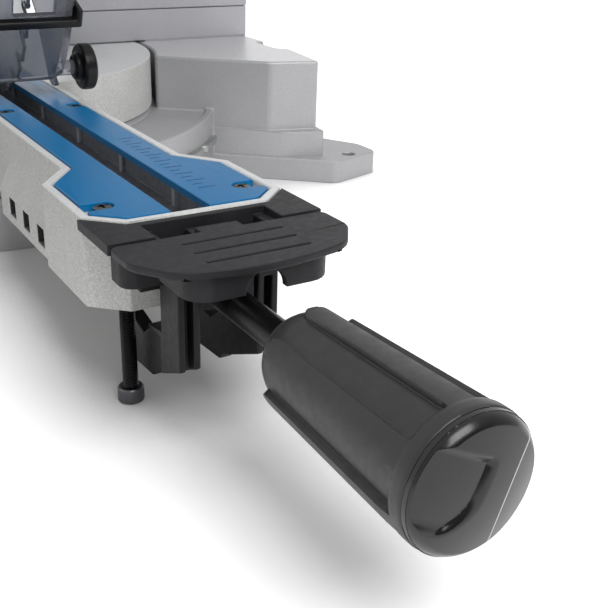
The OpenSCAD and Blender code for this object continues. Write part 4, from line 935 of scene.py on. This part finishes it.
def blade_tips():
    """A carbide tip on every tooth, a little wider than the blade."""
    r = Recipe("carbide_tips", Teeth=40, Radius=0.1062, Width=0.0026, Thick=0.0016, Length=0.0034)
    ring = r.add("GeometryNodeMeshCircle", {
        "Vertices": r["Teeth"], "Radius": r["Radius"]}).outputs["Mesh"]
    index = r.add("GeometryNodeInputIndex").outputs[0]
    step = r.math("DIVIDE", 2 * math.pi, r["Teeth"])
    turn = r.vector(z=r.math("MULTIPLY", index, step))
    size = r.vector(r["Length"], r["Thick"], r["Width"])
    tip = r.add("GeometryNodeMeshCube", {"Size": size}).outputs["Mesh"]
    tip = r.moved(tip, translation=r.vector(y=r.math("MULTIPLY", r["Thick"], -0.3)))
    tips = r.add("GeometryNodeInstanceOnPoints", {"Points": ring, "Instance": tip, "Rotation": turn})
    r.close(tips.outputs["Instances"], CARBIDE)
    mesh = grow("carbide_tips", r)
    mesh.transform(Matrix(((0, 0, 1, 0), (1, 0, 0, 0), (0, 1, 0, 0), (0, 0, 0, 1))))
    at(mesh, 0, ARBOR_Y, ARBOR_Z)
    add_object("carbide_tips", outward(mesh, FINE_WELD), BODY_OF["saw_blade"])


def circle_places(x, y, z, radius, degrees):
    """Places on a circle round an axis along X, in millimetres."""
    turns = [math.radians(d) for d in degrees]
    return [(x, y + radius * math.cos(a), z + radius * math.sin(a)) for a in turns]


def head_screws():
    """Screws that hold the gear cover, the motor's end cap, the handle shells and the rail bracket."""
    gear = circle_places(67.0, ARBOR_Y, ARBOR_Z, 43, (180, 225, 270, 315))
    motor = circle_places(194.8, MOTOR_Y, MOTOR_Z, 31, (45, 135, 225, 315))
    shell = [(-16.0, y, z) for y, z in ((-152, 307), (-63, 309), (-66, 358), (-155, 344))]
    rear = [(x, 463.4, 217.0) for x in (-32, 32)]
    screws("gear_cover_screws", HEX_BLACK, "head", gear, (1, 0, 0),
           radius=3.5, height=2.4, socket=1.7, depth=1.6)
    screws("end_cap_screws", CROSS_BLACK, "head", motor, (1, 0, 0),
           radius=3.2, height=1.6, socket=1.8, depth=1.2)
    screws("handle_screws", CROSS_BLACK, "head", shell, (-1, 0, 0),
           radius=3.2, height=0.9, socket=1.8, depth=0.8)
    screws("rail_screws", HEX_ZINC, BODY_OF["rear_rail_bracket"], rear, (0, 1, 0),
           radius=6.0, height=1.3, socket=2.8, depth=1.1)


def shell_outside(m, n):
    """True for the outer edges of a handle shell."""
    return abs(m.x) > 15.5


dress("bevel_arm", HEAD_METAL, "casting", (1.6, 3, everywhere))
dress("slide_bushes", BUSH, "bush", (0.4, 2, everywhere))
dress("bevel_lock_lever", BLACK_PLASTIC, "black_plastic", (1.6, 3, everywhere))
dress("slide_lock_knob", BLACK_PLASTIC, "black_plastic", (1.2, 3, everywhere))
dress("slide_rails", CHROME, "rail_chrome", (0.5, 2, everywhere))
dress("rear_rail_bracket", BLACK_PLASTIC, "black_plastic", (1.6, 3, everywhere))
dress("head_bracket", HEAD_METAL, "casting", (1.4, 3, everywhere))
dress("lock_down_pin", BLACK_OXIDE, "black_plastic", (0.8, 3, everywhere))
dress("head_casting", HEAD_METAL, "casting", (1.6, 3, everywhere))
dress("gear_cover", BLACK_PLASTIC, "black_plastic", (1.4, 3, everywhere))
dress("motor_housing", DARK_PLASTIC, "black_plastic", (0.6, 2, everywhere))
dress("motor_end_cap", DARK_PLASTIC, "black_plastic", (1.0, 3, everywhere))
dress("brush_caps", DARK_PLASTIC, "grey_plastic", (0.5, 2, everywhere))
for side in ("left", "right"):
    dress("main_handle_" + side, GRIPPED, "black_plastic", (6.0, 5, shell_outside))
    dress("roller_" + side, ROD_BLACK, "black_plastic", (1.6, 4, everywhere))
dress("dust_port", DARK_PLASTIC, "black_plastic", (0.8, 3, everywhere))
dress("cord_gland", DARK_PLASTIC, "black_plastic", (0.8, 3, everywhere))
dress("trigger", LEVER_PLASTIC, "grey_plastic", (1.6, 4, everywhere))
dress("lock_off_button", LEVER_PLASTIC, "grey_plastic", (0.8, 3, everywhere))
dress("spindle_lock_button", LEVER_PLASTIC, "black_plastic", (0.8, 3, everywhere))
dress("lower_guard", SMOKED, "smoky_clear", (0.5, 2, everywhere))
dress("guard_bar", ROD_BLACK, "black_plastic", (1.1, 3, everywhere))
dress("guard_ring", BLACK_PLASTIC, "black_plastic", (0.4, 2, everywhere))
paint("saw_blade", BLADE)
blade_tips()
head_screws()
dress("blade_flanges", ZINC, "steel", (0.6, 2, everywhere))
dress("arbor_bolt", BLACK_OXIDE, "dark_steel", (0.5, 2, everywhere))
for node, material in (
        ("lever_pins", STEEL), ("lock_shoe", ZINC), ("bevel_shaft", STEEL), ("detent_rod", ZINC),
        ("chop_pin", STEEL), ("return_spring", STEEL), ("motor_stator", STEEL),
        ("motor_armature", COPPER), ("spindle_bearings", STEEL), ("spindle", STEEL)):
    paint(node, material)


# Floor, light and camera

# Floor: size and height in metres, its grey, the reach of the painted shade on it in metres, and its lift,
# which fades into that painted shade. Sky: its colour, its fill, and the strength of its reflections towards
# the front
FLOOR_SIZE, FLOOR_Z = 9.0, -0.0003
FLOOR_GREY = (0.86, 0.86, 0.86, 1)
SHADE_REACH, FLOOR_LIFT = 0.2, 0.75
WHITE = (1.0, 1.0, 1.0, 1.0)
FILL, FRONT_GLOSS = 0.4, 0.12


def floor():
    """A pale floor that keeps the saw's shadow, with a glow to the eye that fades where the sky above is
    closed: painted shade under the saw.
    """
    bpy.ops.mesh.primitive_plane_add(size=FLOOR_SIZE, location=(0, 0, FLOOR_Z))
    plane = bpy.context.active_object
    plane.name = "floor"
    mat = bpy.data.materials.new("pale_floor")
    mat.use_nodes = True
    mat.node_tree.nodes.clear()
    n = Nodes(mat.node_tree)
    rays = n.add("ShaderNodeLightPath").outputs
    seen = n.math("MAXIMUM", rays["Is Camera Ray"], rays["Is Glossy Ray"])
    seen = n.math("MAXIMUM", seen, rays["Is Transmission Ray"])
    # Painted shade: the floor's glow is taken away where ambient occlusion finds the saw close above
    open_sky = n.add("ShaderNodeAmbientOcclusion", {"Distance": SHADE_REACH}).outputs["AO"]
    lift = n.math("MULTIPLY", seen, n.remap(open_sky, 0.5, 0.95, 0.0, FLOOR_LIFT))
    glow = n.add("ShaderNodeEmission", {"Strength": lift}).outputs[0]
    matt = n.add("ShaderNodeBsdfDiffuse", {"Color": FLOOR_GREY}).outputs[0]
    both = n.add("ShaderNodeAddShader", {0: matt, 1: glow}).outputs[0]
    n.add("ShaderNodeOutputMaterial", {"Surface": both})
    plane.data.materials.append(mat)


def sky():
    """White to the eye, a plain even fill, and reflections that dim towards the front."""
    world = bpy.data.worlds.new("studio")
    bpy.context.scene.world = world
    world.use_nodes = True
    n = Nodes(world.node_tree)
    rays = n.add("ShaderNodeLightPath").outputs
    seen = n.math("MAXIMUM", rays["Is Camera Ray"], rays["Is Transmission Ray"])
    where = n.add("ShaderNodeTexCoord").outputs["Generated"]
    ahead = n.add("ShaderNodeSeparateXYZ", {0: where}).outputs["Y"]
    gloss = n.remap(ahead, -0.95, 0.2, FRONT_GLOSS, 1.0)
    fill = n.add("ShaderNodeMix", {0: rays["Is Glossy Ray"], 2: FILL, 3: gloss}).outputs[0]
    level = n.add("ShaderNodeMix", {0: seen, 2: fill, 3: 1.0}).outputs[0]
    back = n.nodes["Background"]
    n.put(back.inputs["Strength"], level)
    n.put(back.inputs["Color"], WHITE)


def lamp(name, place, aim, size, power):
    """A rectangular lamp, in metres and watts, that points at a place."""
    light = bpy.data.lights.new(name, "AREA")
    light.shape = "RECTANGLE"
    light.size, light.size_y = size
    light.energy = power
    obj = bpy.data.objects.new(name, light)
    bpy.context.scene.collection.objects.link(obj)
    obj.location = place
    obj.rotation_euler = (Vector(aim) - Vector(place)).to_track_quat("-Z", "Y").to_euler()


# The photograph's view: place in millimetres, azimuth, elevation and roll in degrees, and lens and film
# in millimetres
VIEW_PLACE = (-133.5, -632.2, 179.9)
VIEW_TURN = (-32.77, 24.25, 1.935)
LENS, FILM = 54.56, 36.0


def camera():
    """The camera in the photograph's view."""
    azimuth, elevation, roll = (math.radians(a) for a in VIEW_TURN)
    back = Vector((math.sin(azimuth) * math.cos(elevation), -math.cos(azimuth) * math.cos(elevation),
                   math.sin(elevation)))
    right = Vector((0, 0, 1)).cross(back).normalized()
    up = back.cross(right)
    rolled = math.cos(roll) * right + math.sin(roll) * up
    above = -math.sin(roll) * right + math.cos(roll) * up
    data = bpy.data.cameras.new("photo_view")
    data.lens, data.sensor_width = LENS, FILM
    data.clip_start, data.clip_end = 0.01, 50.0
    cam = bpy.data.objects.new("photo_view", data)
    bpy.context.scene.collection.objects.link(cam)
    turn = Matrix((rolled, above, back)).transposed().to_4x4()
    cam.matrix_world = Matrix.Translation(mm(*VIEW_PLACE)) @ turn
    bpy.context.scene.camera = cam


floor()
sky()
lamp("key", (0.06, -1.35, 1.3), (0.0, -0.35, 0.05), (0.9, 0.9), 19.0)
camera()
bpy.context.scene.view_settings.view_transform = "Standard"
